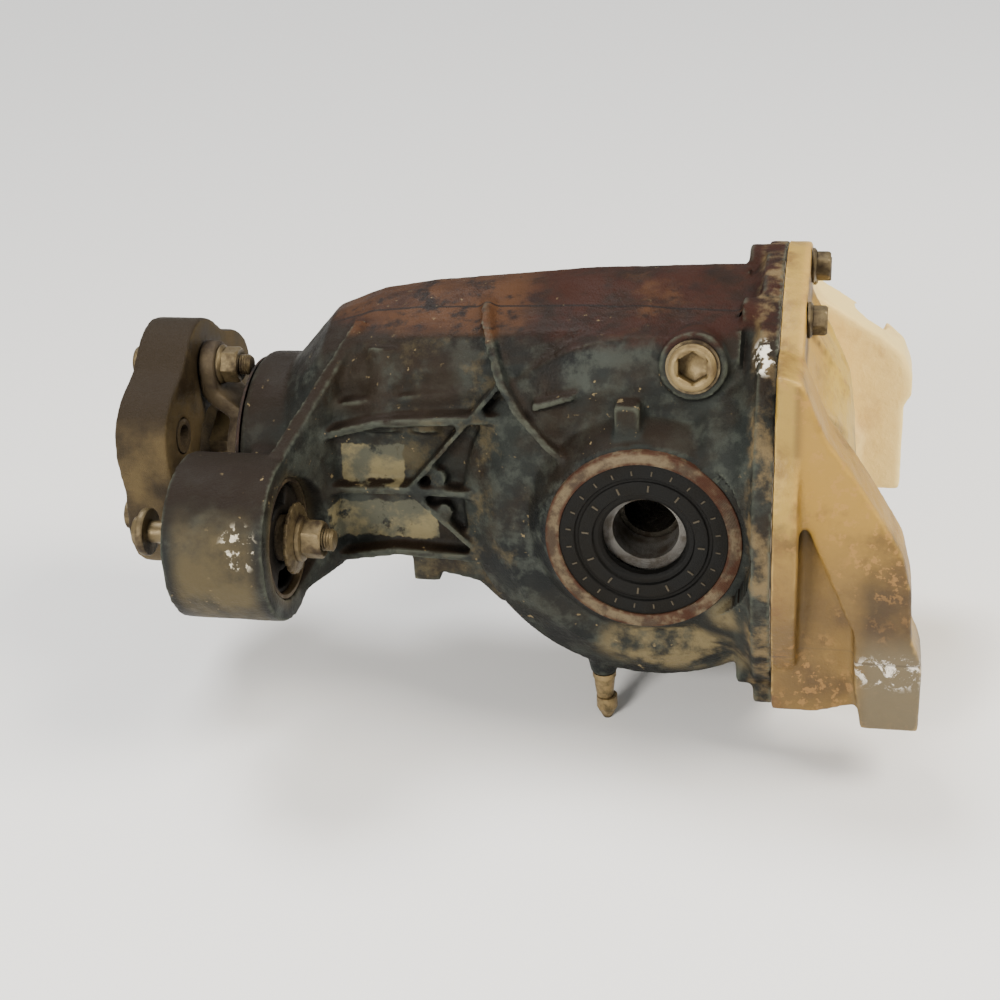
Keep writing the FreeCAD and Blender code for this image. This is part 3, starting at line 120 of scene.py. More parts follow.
# Stained and rubbed places, each by its centre and its half size along X, Y and Z. The wall pocket
# also gets painted shade, and the rubbed ear painted light on its sides.
WALL_POCKET = (0.155, -0.06, 0.066), (0.048, 0.04, 0.024)
BOWL_MUD = (0.305, -0.07, -0.072), (0.046, 0.035, 0.020)
BOWL_MUD_REAR = (0.334, -0.07, -0.040), (0.016, 0.035, 0.014)
FLANGE_FLAKES = (JOINT_X - 0.006, -0.076, 0.092), (0.007, 0.018, 0.007)
EAR_RUBBED_AND_LIT = EAR, (0.036, 0.054, 0.054)
EAR_SCUFFS = EAR + Vector((0.014, -0.040, 0.014)), (0.010, 0.02, 0.012)
FOOT_SCORES = (0.414, -0.108, -0.063), (0.022, 0.014, 0.010)
# Two panels of the side wall that are rubbed pale, by centre and half size along X and Z.
UPPER_PANEL = (0.143, 0.022), (0.017, 0.010)
LOWER_PANEL = (0.147, -0.012), (0.028, 0.011)
WALL_Y = -0.052
# Where the housing and the cover change along X, and the height of the near foot's scored line.
NOSE_END = 0.125
RED_RUST_X = 0.212
COVER_RIM_X = 0.366
COVER_DOME_X = 0.372
FOOT_X = 0.392
FOOT_LINE_Z = -0.0585
# The crown's rust starts at this height, which rises with X; so does the red rust, a bit lower.
CROWN_Z = 0.0745
CROWN_SLOPE = 0.085
SEAM_Y = -0.003
SEAM_SLOPE = -0.11


# ---------------------------------------------------------------- procedural finishes

def srgb(red, green, blue):
    """A shader colour from the usual 0-255 values."""
    scaled = [value / 255 for value in (red, green, blue)]
    return tuple(((value + 0.055) / 1.055) ** 2.4 for value in scaled) + (1.0,)


class Finish:
    """A procedural material. Its patterns are laid out in the part's own metres."""

    def __init__(self, name, metallic=0.0, specular=0.4):
        self.material = bpy.data.materials.new(name)
        self.material.use_nodes = True
        self.tree = self.material.node_tree
        self.shader = self.tree.nodes["Principled BSDF"]
        self.shader.inputs["Metallic"].default_value = metallic
        self.shader.inputs["Specular IOR Level"].default_value = specular
        self.place = self.add("ShaderNodeTexCoord").outputs["Object"]
        self.x, self.y, self.z = self.add("ShaderNodeSeparateXYZ", Vector=self.place).outputs
        facing = self.add("ShaderNodeNewGeometry")
        self.up = self.add("ShaderNodeSeparateXYZ", Vector=facing.outputs["Normal"]).outputs["Z"]
        self.edge = facing.outputs["Pointiness"]

    def feed(self, socket, value):
        if isinstance(value, bpy.types.NodeSocket):
            self.tree.links.new(value, socket)
        else:
            socket.default_value = value

    def add(self, kind, settings=None, **inputs):
        node = self.tree.nodes.new(kind)
        for key, value in (settings or {}).items():
            setattr(node, key, value)
        for key, value in inputs.items():
            self.feed(node.inputs[key.replace("_", " ")], value)
        return node

    def wire(self, kind, settings, slots, values):
        """A node of a kind whose inputs are known by number, with a value for each."""
        node = self.add(kind, settings)
        for slot, value in zip(slots, values):
            self.feed(node.inputs[slot], value)
        return node

    def math(self, operation, first, second=0.5):
        return self.wire("ShaderNodeMath", {"operation": operation}, (0, 1),
                         (first, second)).outputs[0]

    def vector_math(self, operation, *values):
        return self.wire("ShaderNodeVectorMath", {"operation": operation}, (0, 1), values)

    def both(self, *masks):
        """Where every mask holds."""
        result = masks[0]
        for mask in masks[1:]:
            result = self.math("MULTIPLY", result, mask)
        return result

    def either(self, first, second):
        return self.math("MAXIMUM", first, second)

    def ramp(self, value, low, high):
        """0 below low and 1 above high, or the other way round where low is the larger."""
        node = self.add("ShaderNodeMapRange", {"interpolation_type": "SMOOTHSTEP"}, Value=value,
                        From_Min=min(low, high), From_Max=max(low, high),
                        To_Min=float(low > high), To_Max=float(low < high))
        return node.outputs["Result"]

    def noise(self, scale, detail=5.0, roughness=0.6, stretch=(1, 1, 1), distortion=0.0):
        """Cloudy values about 0.5. The scale is in features to the metre."""
        moved = self.add("ShaderNodeMapping", Vector=self.place, Scale=stretch)
        node = self.add("ShaderNodeTexNoise", Vector=moved.outputs["Vector"], Scale=scale,
                        Detail=detail, Roughness=roughness, Distortion=distortion)
        return node.outputs["Fac"]

    def patches(self, scale, low, high, detail=5.0, **settings):
        """Scattered patches: 0 where the noise is below low, and 1 where it is above high."""
        return self.ramp(self.noise(scale, detail, **settings), low, high)

    def hollow(self, reach, clear, shut):
        """1 in corners and recesses, from how much of the space within reach is open."""
        node = self.add("ShaderNodeAmbientOcclusion", {"samples": 6}, Distance=reach)
        return self.ramp(node.outputs["AO"], clear, shut)

    def blob(self, centre, size, soft=0.35):
        """1 inside an ellipsoid, fading out at its surface."""
        offset = self.vector_math("SUBTRACT", self.place, centre)
        scaled = self.vector_math("DIVIDE", offset.outputs[0], size)
        length = self.vector_math("LENGTH", scaled.outputs[0])
        return self.ramp(length.outputs["Value"], 1.0 + soft / 2, 1.0 - soft)

    def torn_patch(self, centre, half, wander=0.012, fade=0.0006):
        """1 inside a torn-edged rectangle on the side wall, given by its X and Z."""
        wobble = self.math("MULTIPLY", self.math("SUBTRACT", self.noise(65, 8), 0.5), wander)
        masks = []
        for value, mid, reach in ((self.x, centre[0], half[0]), (self.z, centre[1], half[1])):
            away = self.math("SUBTRACT", self.math("ADD", value, wobble), mid)
            masks.append(self.ramp(self.math("ABSOLUTE", away), reach + fade, reach - fade))
        return self.both(*masks)

    def blend(self, mask, first, second):
        """The first colour, and the second where the mask holds."""
        return self.wire("ShaderNodeMix", {"data_type": "RGBA"}, (0, 6, 7),
                         (mask, first, second)).outputs[2]

    def coat(self, colour, mask, cover, paint):
        """A colour with a paint over it where the mask holds, to the share given by cover."""
        return self.blend(self.math("MULTIPLY", mask, cover), colour, paint)

    def level(self, mask, first, second):
        """The first value, and the second where the mask holds."""
        return self.wire("ShaderNodeMix", {"data_type": "FLOAT"}, (0, 2, 3),
                         (mask, first, second)).outputs[0]

    def finish(self, colour, roughness, *reliefs):
        """Set the shader from a colour, a roughness and reliefs of (height, depth in metres)."""
        self.feed(self.shader.inputs["Base Color"], colour)
        self.feed(self.shader.inputs["Roughness"], roughness)
        normal = None
        for height, depth in reliefs:
            bump = self.add("ShaderNodeBump", Height=height, Distance=depth, Strength=1.0)
            if normal is not None:
                self.feed(bump.inputs["Normal"], normal)
            normal = bump.outputs["Normal"]
        if normal is not None:
            self.feed(self.shader.inputs["Normal"], normal)
        return self.material


def oily_skin_and_shade(f, cloud):
    """Cast iron gone dark and oily, dusty along the pinion tunnel and browner on upward faces, with
    painted shade in the wall pocket and painted shade blackening its downward faces.
    """
    colour = f.blend(f.ramp(cloud, 0.36, 0.66), srgb(14, 17, 17), srgb(36, 39, 36))
    mottle = f.patches(64, 0.46, 0.62, 9, roughness=0.65)
    colour = f.coat(colour, mottle, 0.7, srgb(58, 62, 56))
    oil_and_pocket_shade = f.both(f.patches(26, 0.42, 0.7, 7), f.patches(7, 0.36, 0.6))
    # Dark brown in the wall pocket: oily staining in part, and painted shade of the recess in part.
    oil_and_pocket_shade = f.either(oil_and_pocket_shade, f.both(f.blob(*WALL_POCKET), f.patches(34, 0.3, 0.5)))
    colour = f.coat(colour, oil_and_pocket_shade, 0.8, srgb(32, 22, 11))
    tunnel = f.both(f.ramp(f.x, AXLE.x - 0.055, AXLE.x - 0.075),
                    f.ramp(f.x, EAR.x + 0.05, EAR.x + 0.07))
    dust = f.both(tunnel, f.patches(38, 0.52, 0.66, 9, roughness=0.68))
    colour = f.coat(colour, dust, 0.75, srgb(72, 64, 45))
    colour = f.coat(colour, f.ramp(f.up, 0.45, 0.85), 0.9, srgb(27, 18, 9))
    # Painted shade: downward faces are darkened towards black.
    return f.coat(colour, f.ramp(f.up, -0.15, -0.6), 0.7, srgb(12, 12, 11))


def rubbed_wall(f, colour):
    """Two panels of the side wall that are rubbed pale, and the brown nose in front of them."""
    pale = f.blend(f.patches(60, 0.42, 0.6, 8), srgb(112, 103, 75), srgb(73, 73, 61))
    bare = f.both(f.either(f.torn_patch(*UPPER_PANEL), f.torn_patch(*LOWER_PANEL)),
                  f.patches(85, 0.34, 0.44, 9, roughness=0.7), f.ramp(f.y, WALL_Y + 0.007, WALL_Y))
    colour = f.coat(colour, bare, 0.92, pale)
    nose = f.both(f.ramp(f.x, NOSE_END, NOSE_END - 0.03), f.patches(24, 0.34, 0.66, 8))
    return f.coat(colour, nose, 0.6, srgb(27, 19, 11))


def rusted_roof(f, colour):
    """Brown rust on the sloping crown, red rust near the flange and the dark parting seam."""
    slope = f.math("SUBTRACT", f.z, f.math("MULTIPLY", f.x, CROWN_SLOPE))
    height = f.math("ADD", slope, f.math("MULTIPLY", f.noise(30, 6), 0.006))
    crown = f.both(f.ramp(height, CROWN_Z, CROWN_Z + 0.004), f.ramp(f.x, 0.09, 0.13))
    rust = f.blend(f.patches(34, 0.36, 0.6, 8, stretch=(0.5, 1, 1)),
                   srgb(39, 19, 9), srgb(68, 42, 21))
    rust = f.blend(f.patches(70, 0.5, 0.64, 8), rust, srgb(22, 12, 7))
    colour = f.coat(colour, crown, 0.95, rust)
    red = f.both(f.ramp(height, CROWN_Z - 0.005, CROWN_Z + 0.0005),
                 f.ramp(f.x, RED_RUST_X, RED_RUST_X + 0.024), f.patches(26, 0.3, 0.46, 7))
    stain = f.blend(f.patches(44, 0.4, 0.62, 7), srgb(42, 17, 8), srgb(27, 15, 8))
    colour = f.coat(colour, red, 0.93, stain)
    seam = f.math("ADD", f.y, f.math("ADD", f.math("MULTIPLY", f.x, -SEAM_SLOPE), -SEAM_Y))
    seam = f.math("ABSOLUTE", f.math("ADD", seam, f.math("MULTIPLY", f.noise(60), 0.002)))
    return f.coat(colour, f.both(f.ramp(seam, 0.0011, 0.0004), crown), 0.85, srgb(18, 12, 9))


def chipped_bowl(f, colour):
    """Dry mud low on the bowl, the flange with its paint rubbed off, and sharp edges chipped pale,
    which also paints a highlight along the rib crests.
    """
    mud = f.both(f.either(f.blob(*BOWL_MUD), f.blob(*BOWL_MUD_REAR)), f.patches(46, 0.38, 0.56, 9))
    colour = f.coat(colour, mud, 0.85, srgb(107, 95, 67))
    rim = f.both(f.ramp(f.x, JOINT_X - 0.014, JOINT_X - 0.010), f.patches(60, 0.44, 0.62, 8))
    colour = f.coat(colour, rim, 0.8, srgb(107, 91, 63))
    # Sharp edges turn pale: chipped paint in part, and a painted highlight on the rib crests in
    # part.
    chips_and_crest_highlight = f.both(f.ramp(f.edge, 0.512, 0.55), f.patches(75, 0.36, 0.54, 6))
    colour = f.coat(colour, chips_and_crest_highlight, 0.65, srgb(68, 72, 62))
    flakes = f.both(f.blob(*FLANGE_FLAKES), f.patches(240, 0.5, 0.56))
    return f.blend(flakes, colour, srgb(225, 220, 205))


def worn_and_lit_ear(f, colour):
    """The front ear: its sides rubbed to a dusty brown and paler than its top as painted light,
    with white scuffs beside its bush.
    """
    # Painted light: the ear's sides that do not face up are made paler than its top, over their
    # rubbed dusty brown.
    rubbed_and_lit_sides = f.both(f.blob(*EAR_RUBBED_AND_LIT, 0.1), f.ramp(f.up, 0.8, 0.35))
    rubbed_and_lit_tone = f.blend(f.patches(30, 0.4, 0.62, 8), srgb(77, 68, 47), srgb(44, 41, 33))
    colour = f.coat(colour, rubbed_and_lit_sides, 0.85, rubbed_and_lit_tone)
    scuffs = f.both(f.blob(*EAR_SCUFFS), f.patches(170, 0.53, 0.58, 7))
    return f.blend(scuffs, colour, srgb(190, 182, 162))


def housing_finish():
    f = Finish("housing_cast_iron", specular=0.14)
    cloud = f.noise(14)
    fine = f.noise(130, 8)
    grit = f.noise(900, 4)
    colour = oily_skin_and_shade(f, cloud)
    for layer in (rubbed_wall, rusted_roof, chipped_bowl, worn_and_lit_ear):
        colour = layer(f, colour)
    specks = f.both(f.patches(210, 0.66, 0.70, 3), f.patches(24, 0.48, 0.6))
    colour = f.coat(colour, specks, 0.8, srgb(119, 104, 75))
    # Painted shade: corners and recesses are darkened almost to black.
    colour = f.coat(colour, f.hollow(0.014, 0.78, 0.30), 0.9, srgb(9, 9, 8))
    rough = f.level(f.ramp(cloud, 0.3, 0.7), 0.42, 0.72)
    return f.finish(colour, rough, (fine, 0.0011), (grit, 0.00035))


def alloy_tones(f, cloud):
    """Bare alloy, lit gold on top, with a tone for each part of the cover: among them a painted
    golden highlight on the near arm's upper band, and the far half painted bright as painted light.
    """
    colour = f.blend(f.ramp(cloud, 0.34, 0.68), srgb(87, 66, 31), srgb(124, 97, 48))
    top = f.both(f.ramp(f.up, 0.1, 0.4), f.patches(24, 0.26, 0.5, 8))
    colour = f.coat(colour, top, 0.9, srgb(186, 149, 72))
    near_foot = f.both(f.ramp(f.x, FOOT_X, FOOT_X + 0.012), f.ramp(f.y, -0.04, -0.08),
                       f.patches(20, 0.25, 0.6, 7), f.ramp(f.z, 0.01, -0.02),
                       f.ramp(f.up, 0.3, 0.05))
    colour = f.coat(colour, near_foot, 0.9, srgb(48, 36, 17))
    # Painted highlight: a golden band on the near arm's upper part.
    near_arm_highlight = f.both(f.ramp(f.y, -0.05, -0.07), f.ramp(f.z, -0.02, 0.03),
                      f.ramp(f.x, COVER_RIM_X - 0.004, COVER_RIM_X + 0.004))
    colour = f.coat(colour, near_arm_highlight, 0.75, srgb(156, 121, 44))
    rim = f.both(f.ramp(f.x, COVER_RIM_X, COVER_RIM_X - 0.004), f.ramp(f.z, -0.01, 0.03))
    colour = f.coat(colour, rim, 0.8, srgb(154, 126, 54))
    dome = f.both(f.ramp(f.x, COVER_DOME_X, COVER_DOME_X + 0.008), f.ramp(f.y, -0.07, -0.03))
    colour = f.coat(colour, dome, 0.85, srgb(196, 162, 64))
    # Painted light: the far half is coloured almost white-gold, as if lit from behind.
    far = f.ramp(f.y, 0.02, 0.085)
    colour = f.coat(colour, far, 0.97, srgb(255, 225, 146))
    tarnish = f.both(far, f.patches(36, 0.52, 0.7, 8))
    return f.coat(colour, tarnish, 0.45, srgb(196, 154, 102))


def alloy_dirt(f, colour):
    """Grime and crust on the near half, a scored grey foot and a stain along the joint."""
    near = f.ramp(f.y, 0.06, -0.02)
    grime = f.both(f.patches(34, 0.48, 0.68, 8), near)
    colour = f.coat(colour, grime, 0.6, srgb(58, 40, 20))
    crust = f.both(f.patches(250, 0.54, 0.60, 8), f.patches(17, 0.46, 0.6), near)
    colour = f.coat(colour, crust, 0.45, srgb(160, 118, 64))
    foot = f.both(f.ramp(f.x, FOOT_X, FOOT_X + 0.013), f.ramp(f.z, -0.035, -0.06),
                  f.ramp(f.y, 0.0, -0.05))
    colour = f.coat(colour, foot, 0.85, srgb(96, 86, 65))
    scored = f.both(f.blob(*FOOT_SCORES, 0.5),
                    f.patches(130, 0.53, 0.58, 9, roughness=0.75, distortion=0.8))
    colour = f.blend(scored, colour, srgb(212, 204, 190))
    line = f.ramp(f.math("ABSOLUTE", f.math("SUBTRACT", f.z, FOOT_LINE_Z)), 0.0008, 0.0002)
    colour = f.coat(colour, f.both(line, f.ramp(f.y, -0.09, -0.1)), 0.6, srgb(60, 52, 40))
    edges = f.both(f.ramp(f.edge, 0.52, 0.58), f.patches(60, 0.4, 0.6))
    colour = f.coat(colour, edges, 0.5, srgb(206, 172, 100))
    stain = f.both(f.ramp(f.x, JOINT_X + 0.012, JOINT_X + 0.002), f.patches(50, 0.42, 0.62, 7))
    return f.coat(colour, stain, 0.6, srgb(84, 56, 30))


def cover_finish():
    f = Finish("cover_cast_alloy", metallic=0.1, specular=0.35)
    cloud = f.noise(16, 6)
    fine = f.noise(150, 7)
    colour = alloy_dirt(f, alloy_tones(f, cloud))
    # Painted shade: corners and recesses are darkened to a dark brown.
    colour = f.coat(colour, f.hollow(0.012, 0.72, 0.3), 0.8, srgb(30, 20, 11))
    rough = f.level(f.ramp(cloud, 0.3, 0.7), 0.40, 0.64)
    return f.finish(colour, rough, (fine, 0.0008), (f.noise(800), 0.0002))


def worn_metal(name, clean, grime, metallic, low, high, scale=120, grain=0.0002):
    """A metal from clean to grimy, with painted shade in its hollows and its roughness going from
    low to high.
    """
    f = Finish(name, metallic=metallic)
    cloud = f.noise(scale, 7)
    colour = f.blend(f.ramp(cloud, 0.42, 0.66), clean, grime)
    # Painted shade: hollows are darkened to a dark brown.
    colour = f.coat(colour, f.hollow(0.004, 0.75, 0.3), 0.85, srgb(26, 20, 14))
    rough = f.level(f.ramp(cloud, 0.35, 0.65), low, high)
    return f.finish(colour, rough, (f.noise(1400), grain))


def rubber(name, base, dusty, amount, grain=0.0003):
    """Rubber with a share of dust on what faces outwards and along its edges, and painted shade in
    its hollows.
    """
    f = Finish(name, specular=0.12)
    dust = f.both(f.patches(28, 0.36, 0.68, 8), f.ramp(f.up, 0.75, 0.3))
    colour = f.coat(base, dust, amount, dusty)
    colour = f.coat(colour, f.ramp(f.edge, 0.53, 0.60), amount * 0.6, dusty)
    # Painted shade: hollows are darkened nearly to black.
    colour = f.coat(colour, f.hollow(0.010, 0.75, 0.3), 0.8, srgb(10, 9, 8))
    return f.finish(colour, f.level(dust, 0.48, 0.82), (f.noise(1100, 4), grain))


def hub_ring_finish():
    """A faced ring: turning marks, with rust creeping in from its edges."""
    f = Finish("hub_ring_faced", metallic=0.35, specular=0.25)
    across = f.math("SUBTRACT", f.x, AXLE.x)
    squares = f.math("ADD", f.math("MULTIPLY", across, across), f.math("MULTIPLY", f.z, f.z))
    away = f.math("SQRT", squares)
    turning = f.math("SINE", f.math("MULTIPLY", away, 9000.0))
    colour = f.blend(f.patches(120, 0.4, 0.62, 8), srgb(92, 80, 60), srgb(54, 42, 30))
    rims = f.either(f.ramp(away, SEAL_RIM + 0.0022, SEAL_RIM + 0.0004),
                    f.ramp(away, SEAL_RIM + 0.0048, SEAL_RIM + 0.0068))
    rear = f.ramp(f.math("ADD", f.noise(32), f.math("MULTIPLY", across, 3.5)), 0.50, 0.62)
    rust = f.both(f.either(rims, rear), f.patches(150, 0.34, 0.56, 8))
    colour = f.coat(colour, rust, 0.85, srgb(57, 30, 17))
    return f.finish(colour, f.level(rust, 0.42, 0.75), (turning, 0.00004), (f.noise(700), 0.0003))


ZINC = worn_metal("zinc_plate", srgb(97, 84, 58), srgb(45, 34, 20), 0.55, 0.36, 0.64, 70)
STEEL = worn_metal("ground_steel", srgb(172, 170, 164), srgb(112, 100, 84), 0.9, 0.18, 0.38)
GEAR = worn_metal("oiled_gear_steel", srgb(74, 70, 62), srgb(40, 32, 22), 0.85, 0.2, 0.36)
FORGED = worn_metal("forged_scale", srgb(78, 66, 46), srgb(42, 32, 21), 0.3, 0.45, 0.75,
                    40, 0.0005)
RUSTED = worn_metal("rusted_sheet", srgb(47, 28, 17), srgb(18, 13, 10), 0.2, 0.6, 0.85,
                    90, 0.0005)
IRON = worn_metal("case_casting", srgb(96, 94, 90), srgb(60, 52, 42), 0.5, 0.4, 0.65, 70, 0.0005)
SPRING = worn_metal("drawn_steel", srgb(130, 128, 124), srgb(82, 72, 58), 0.85, 0.3, 0.5)
PLUG = worn_metal("plug_plate", srgb(120, 103, 68), srgb(80, 64, 40), 0.45, 0.36, 0.6, 60)
BREATHER = worn_metal("breather_brass", srgb(134, 114, 77), srgb(88, 76, 52), 0.5, 0.35, 0.6, 200)
SEAL = rubber("seal_rubber_moulded", srgb(9, 9, 8), srgb(30, 27, 22), 0.4)
SEAL_MARK = rubber("seal_rubber_worn", srgb(52, 49, 42), srgb(84, 76, 62), 0.5)
COUPLING = rubber("coupling_rubber_dusty", srgb(40, 32, 21), srgb(88, 75, 51), 0.9, 0.0006)
BUSH = rubber("bush_rubber_moulded", srgb(15, 14, 13), srgb(52, 44, 34), 0.5)
GASKET = rubber("gasket_fibre", srgb(70, 66, 60), srgb(110, 98, 80), 0.6)
HOUSING = housing_finish()
COVER = cover_finish()
HUB_RING = hub_ring_finish()

SLOT_FINISHES = {
    "carrier_iron": HOUSING, "cover_alloy": COVER, "zinc_steel": ZINC, "seal_rubber": SEAL,
    "coupling_rubber": COUPLING, "bush_rubber": BUSH, "bearing_steel": STEEL, "gear_steel": GEAR,
    "forged_steel": FORGED, "case_iron": IRON, "spring_steel": SPRING, "gasket_sheet": GASKET,
    "breather_metal": BREATHER,
}
CAD_CREASE = math.radians(32)
PIECE_CREASE = math.radians(38)
for name, thing in nodes.items():
    for holder in thing.material_slots:
        holder.material = RUSTED if name == "dust_shield" else SLOT_FINISHES[slot_of[name]]
    thing.data.shade_smooth()
    thing.data.set_sharp_from_angle(angle=CAD_CREASE)


# ---------------------------------------------------------------- making pieces

def add_object(name, data):
    thing = bpy.data.objects.new(name, data)
    bpy.context.scene.collection.objects.link(thing)
    return thing


def settle(piece, finish, body, stands_for=()):
    """Give a finished piece its material, its body and the nodes it stands for."""
    piece.data.materials.clear()
    piece.data.materials.append(finish)
    piece.data.shade_smooth()
    piece.data.set_sharp_from_angle(angle=PIECE_CREASE)
    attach(piece, body)
    if stands_for:
        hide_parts(*stands_for)
    return piece


def new_piece(name, shells):
    """One object from shells of (points, faces)."""
    points = []
    faces = []
    for shell_points, shell_faces in shells:
        start = len(points)
        points += [tuple(point) for point in shell_points]
        faces += [[start + index for index in face] for face in shell_faces]
    mesh = bpy.data.meshes.new(name)
    mesh.from_pydata(points, [], faces)
    mesh.update()
    outward = bmesh.new()
    outward.from_mesh(mesh)
    bmesh.ops.recalc_face_normals(outward, faces=outward.faces)
    outward.to_mesh(mesh)
    outward.free()
    return add_object(name, mesh)


def tri_wave(value):
    return abs(2 * (value - math.floor(value)) - 1)


def reach_at(angle, turn, along, radius, kind, spin):
    """How far a row of revolve stands from its axis at an angle, which is also given in turns."""
    if kind and kind[0] == "hex":
        fold = (angle + spin) % (math.pi / 3) - math.pi / 6
        return min(radius, kind[1] / 2 / math.cos(fold))
    if kind and kind[0] == "thread":
        return radius - kind[2] * tri_wave(along / kind[1] - turn)
    return radius


def revolve(rows, base, axis, spin=0.0, segments=72, ring=False):
    """Sweep rows of (along, radius, kind) about an axis.

    The kind is None for round, ("hex", across flats) or ("thread", pitch, depth). A ring's last
    row joins its first; anything else is closed by a flat end at each side.
    """
    side = axis.orthogonal().normalized()
    other = axis.cross(side)
    points = []
    for along, radius, kind in rows:
        for step in range(segments):
            angle = 2 * math.pi * step / segments
            reach = reach_at(angle, step / segments, along, radius, kind, spin)
            points.append(base + axis * along + side * (reach * math.cos(angle))
                          + other * (reach * math.sin(angle)))
    faces = []
    count = len(rows)
    for row in range(count if ring else count - 1):
        here = row * segments
        there = (row + 1) % count * segments
        for step in range(segments):
            after = (step + 1) % segments
            faces.append([here + step, here + after, there + after, there + step])
    if not ring:
        faces.append(list(range(segments))[::-1])
        faces.append([(count - 1) * segments + step for step in range(segments)])
    return points, faces


def plain(*pairs):
    """Round rows from pairs of (along, radius) in millimetres."""
    return [(along * MM, radius * MM, None) for along, radius in pairs]


def threaded(start, end, radius, pitch=1.5, depth=0.75, rows_a_turn=5):
    """Rows of a thread, in millimetres, with a short lead at its end."""
    run_in, lead, taper = 0.3, 0.9, 1.4
    rows = plain((start, radius - 0.8))
    steps = max(2, int((end - start) / pitch * rows_a_turn))
    for step in range(steps + 1):
        at = start + run_in + (end - start - run_in - lead) * step / steps
        rows.append((at * MM, radius * MM, ("thread", pitch * MM, depth * MM)))
    return rows + plain((end, radius - taper))


def hex_rows(start, end, flats, dish=True):
    """Rows of a hexagon with chamfered corners, from its washer side to its top."""
    kind = ("hex", flats * MM)
    corner = flats / math.sqrt(3)
    rows = [(along * MM, radius * MM, kind) for along, radius in
            ((start, corner), (end - 1.6, corner), (end - 0.8, flats * 0.545), (end, flats * 0.49))]
    if dish:
        rows += plain((end - 0.15, flats * 0.42), (end - 0.9, flats * 0.36),
                      (end - 1.0, flats * 0.1))
    return rows


def flipped(rows, start=0.0):
    """Rows turned end for end, with their old zero at start, in millimetres."""
    return [(start * MM - along, radius, kind) for along, radius, kind in rows[::-1]]


def rounded(profile, reach, steps=3):
    """A closed profile of (along, radius) in millimetres with its corners rounded off."""
    result = []
    count = len(profile)
    for index in range(count):
        before = Vector(profile[index - 1])
        here = Vector(profile[index])
        after = Vector(profile[(index + 1) % count])
        to_before = (before - here).normalized() * min(reach, (before - here).length * 0.45)
        to_after = (after - here).normalized() * min(reach, (after - here).length * 0.45)
        for step in range(steps + 1):
            part = step / steps
            start = here + to_before * (1 - part)
            end = here + to_after * part
            point = start * (1 - part) + end * part
            result.append((point.x * MM, point.y * MM, None))
    return result


# ---------------------------------------------------------------- castings, forgings and mouldings

def soften(mesh, rounds, hold):
    """Even out a mesh towards its neighbours; hold keeps machined places as they are."""
    count = len(mesh.vertices)
    places = np.zeros(count * 3)
    mesh.vertices.foreach_get("co", places)
    places = places.reshape(-1, 3)
    edges = np.zeros(len(mesh.edges) * 2, dtype=np.int64)
    mesh.edges.foreach_get("vertices", edges)
    first, second = edges.reshape(-1, 2).T
    degree = np.bincount(edges, minlength=count)[:, None]
    weight = 0.5 * (1 - hold(places))[:, None]
    for _ in range(rounds):
        total = np.zeros_like(places)
        for axis in range(3):
            total[:, axis] = (np.bincount(first, places[second, axis], count)
                              + np.bincount(second, places[first, axis], count))
        places += weight * (total / degree - places)
    return places


def put(mesh, places):
    mesh.vertices.foreach_set("co", places.ravel())
    mesh.update()


def all_cast(places):
    return np.zeros(len(places))


def lump_at(place, coarse=160, fine=420):
    """The unevenness of sand-cast skin at a place, in two sizes of lump to the metre."""
    return noise.noise(place * coarse) + 0.5 * noise.noise(place * fine)


def recast(name, node, voxel, rounds, finish, rough, hold=all_cast, adjust=None):
    """A CAD node rebuilt with the soft corners and uneven skin that it has when cast.

    The skin is drawn in by rough, more or less of it with the lumps. hold is 1 on what is
    machined, and adjust moves points after the smoothing.
    """
    piece = add_object(name, nodes[node].data.copy())
    remesh = piece.modifiers.new("voxels", "REMESH")
    remesh.mode = "VOXEL"
    remesh.voxel_size = voxel
    shown = piece.evaluated_get(bpy.context.evaluated_depsgraph_get())
    mesh = bpy.data.meshes.new_from_object(shown)
    piece.modifiers.clear()
    piece.data = mesh
    places = soften(mesh, rounds, hold)
    if adjust:
        adjust(places)
    lifted = (1 - hold(places)) * rough
    put(mesh, places)
    normals = np.zeros(len(places) * 3)
    mesh.vertex_normals.foreach_get("vector", normals)
    lumps = np.array([lump_at(Vector(place)) for place in places])
    put(mesh, places + normals.reshape(-1, 3) * (lumps * lifted - lifted)[:, None])
    return settle(piece, finish, body_of[node], (node,))


def machined_housing(places):
    """1 on the carrier's machined seats, bores and faces, and 0 on its cast skin."""
    hub_inner, tunnel_bore, tunnel_rear = 0.046, 0.0465, AXLE.x - 0.078
    away = np.hypot(places[:, 0] - AXLE.x, places[:, 2])
    from_pinion = np.hypot(places[:, 1], places[:, 2])
    seats = (np.abs(places[:, 1]) > hub_inner) & (away < SEAL_RIM + 0.0005)
    bores = (from_pinion < tunnel_bore) & (places[:, 0] < tunnel_rear)
    joint = places[:, 0] > JOINT_X - 0.0012
    return (seats | bores | joint).astype(float)


def shrink_hubs(places):
    """Draw the hub ends in a little, under the faced rings that are fitted over them."""
    away = np.hypot(places[:, 0] - AXLE.x, places[:, 2])
    ends = (np.abs(places[:, 1]) > HUB_FACE - 0.006) & (away < SEAL_RIM + 0.012)
    limit = HUB_FACE - 0.0006
    places[ends, 1] = np.clip(places[ends, 1], -limit, limit)
    under_ring = ends & (away > SEAL_RIM - 0.002) & (away < SEAL_RIM + 0.0082)
    aim = np.clip(away, SEAL_RIM + 0.0006, SEAL_RIM + 0.0062)
    scale = np.where(under_ring, aim / np.maximum(away, 1e-6), 1.0)
    places[:, 0] = AXLE.x + (places[:, 0] - AXLE.x) * scale
    places[:, 2] = places[:, 2] * scale


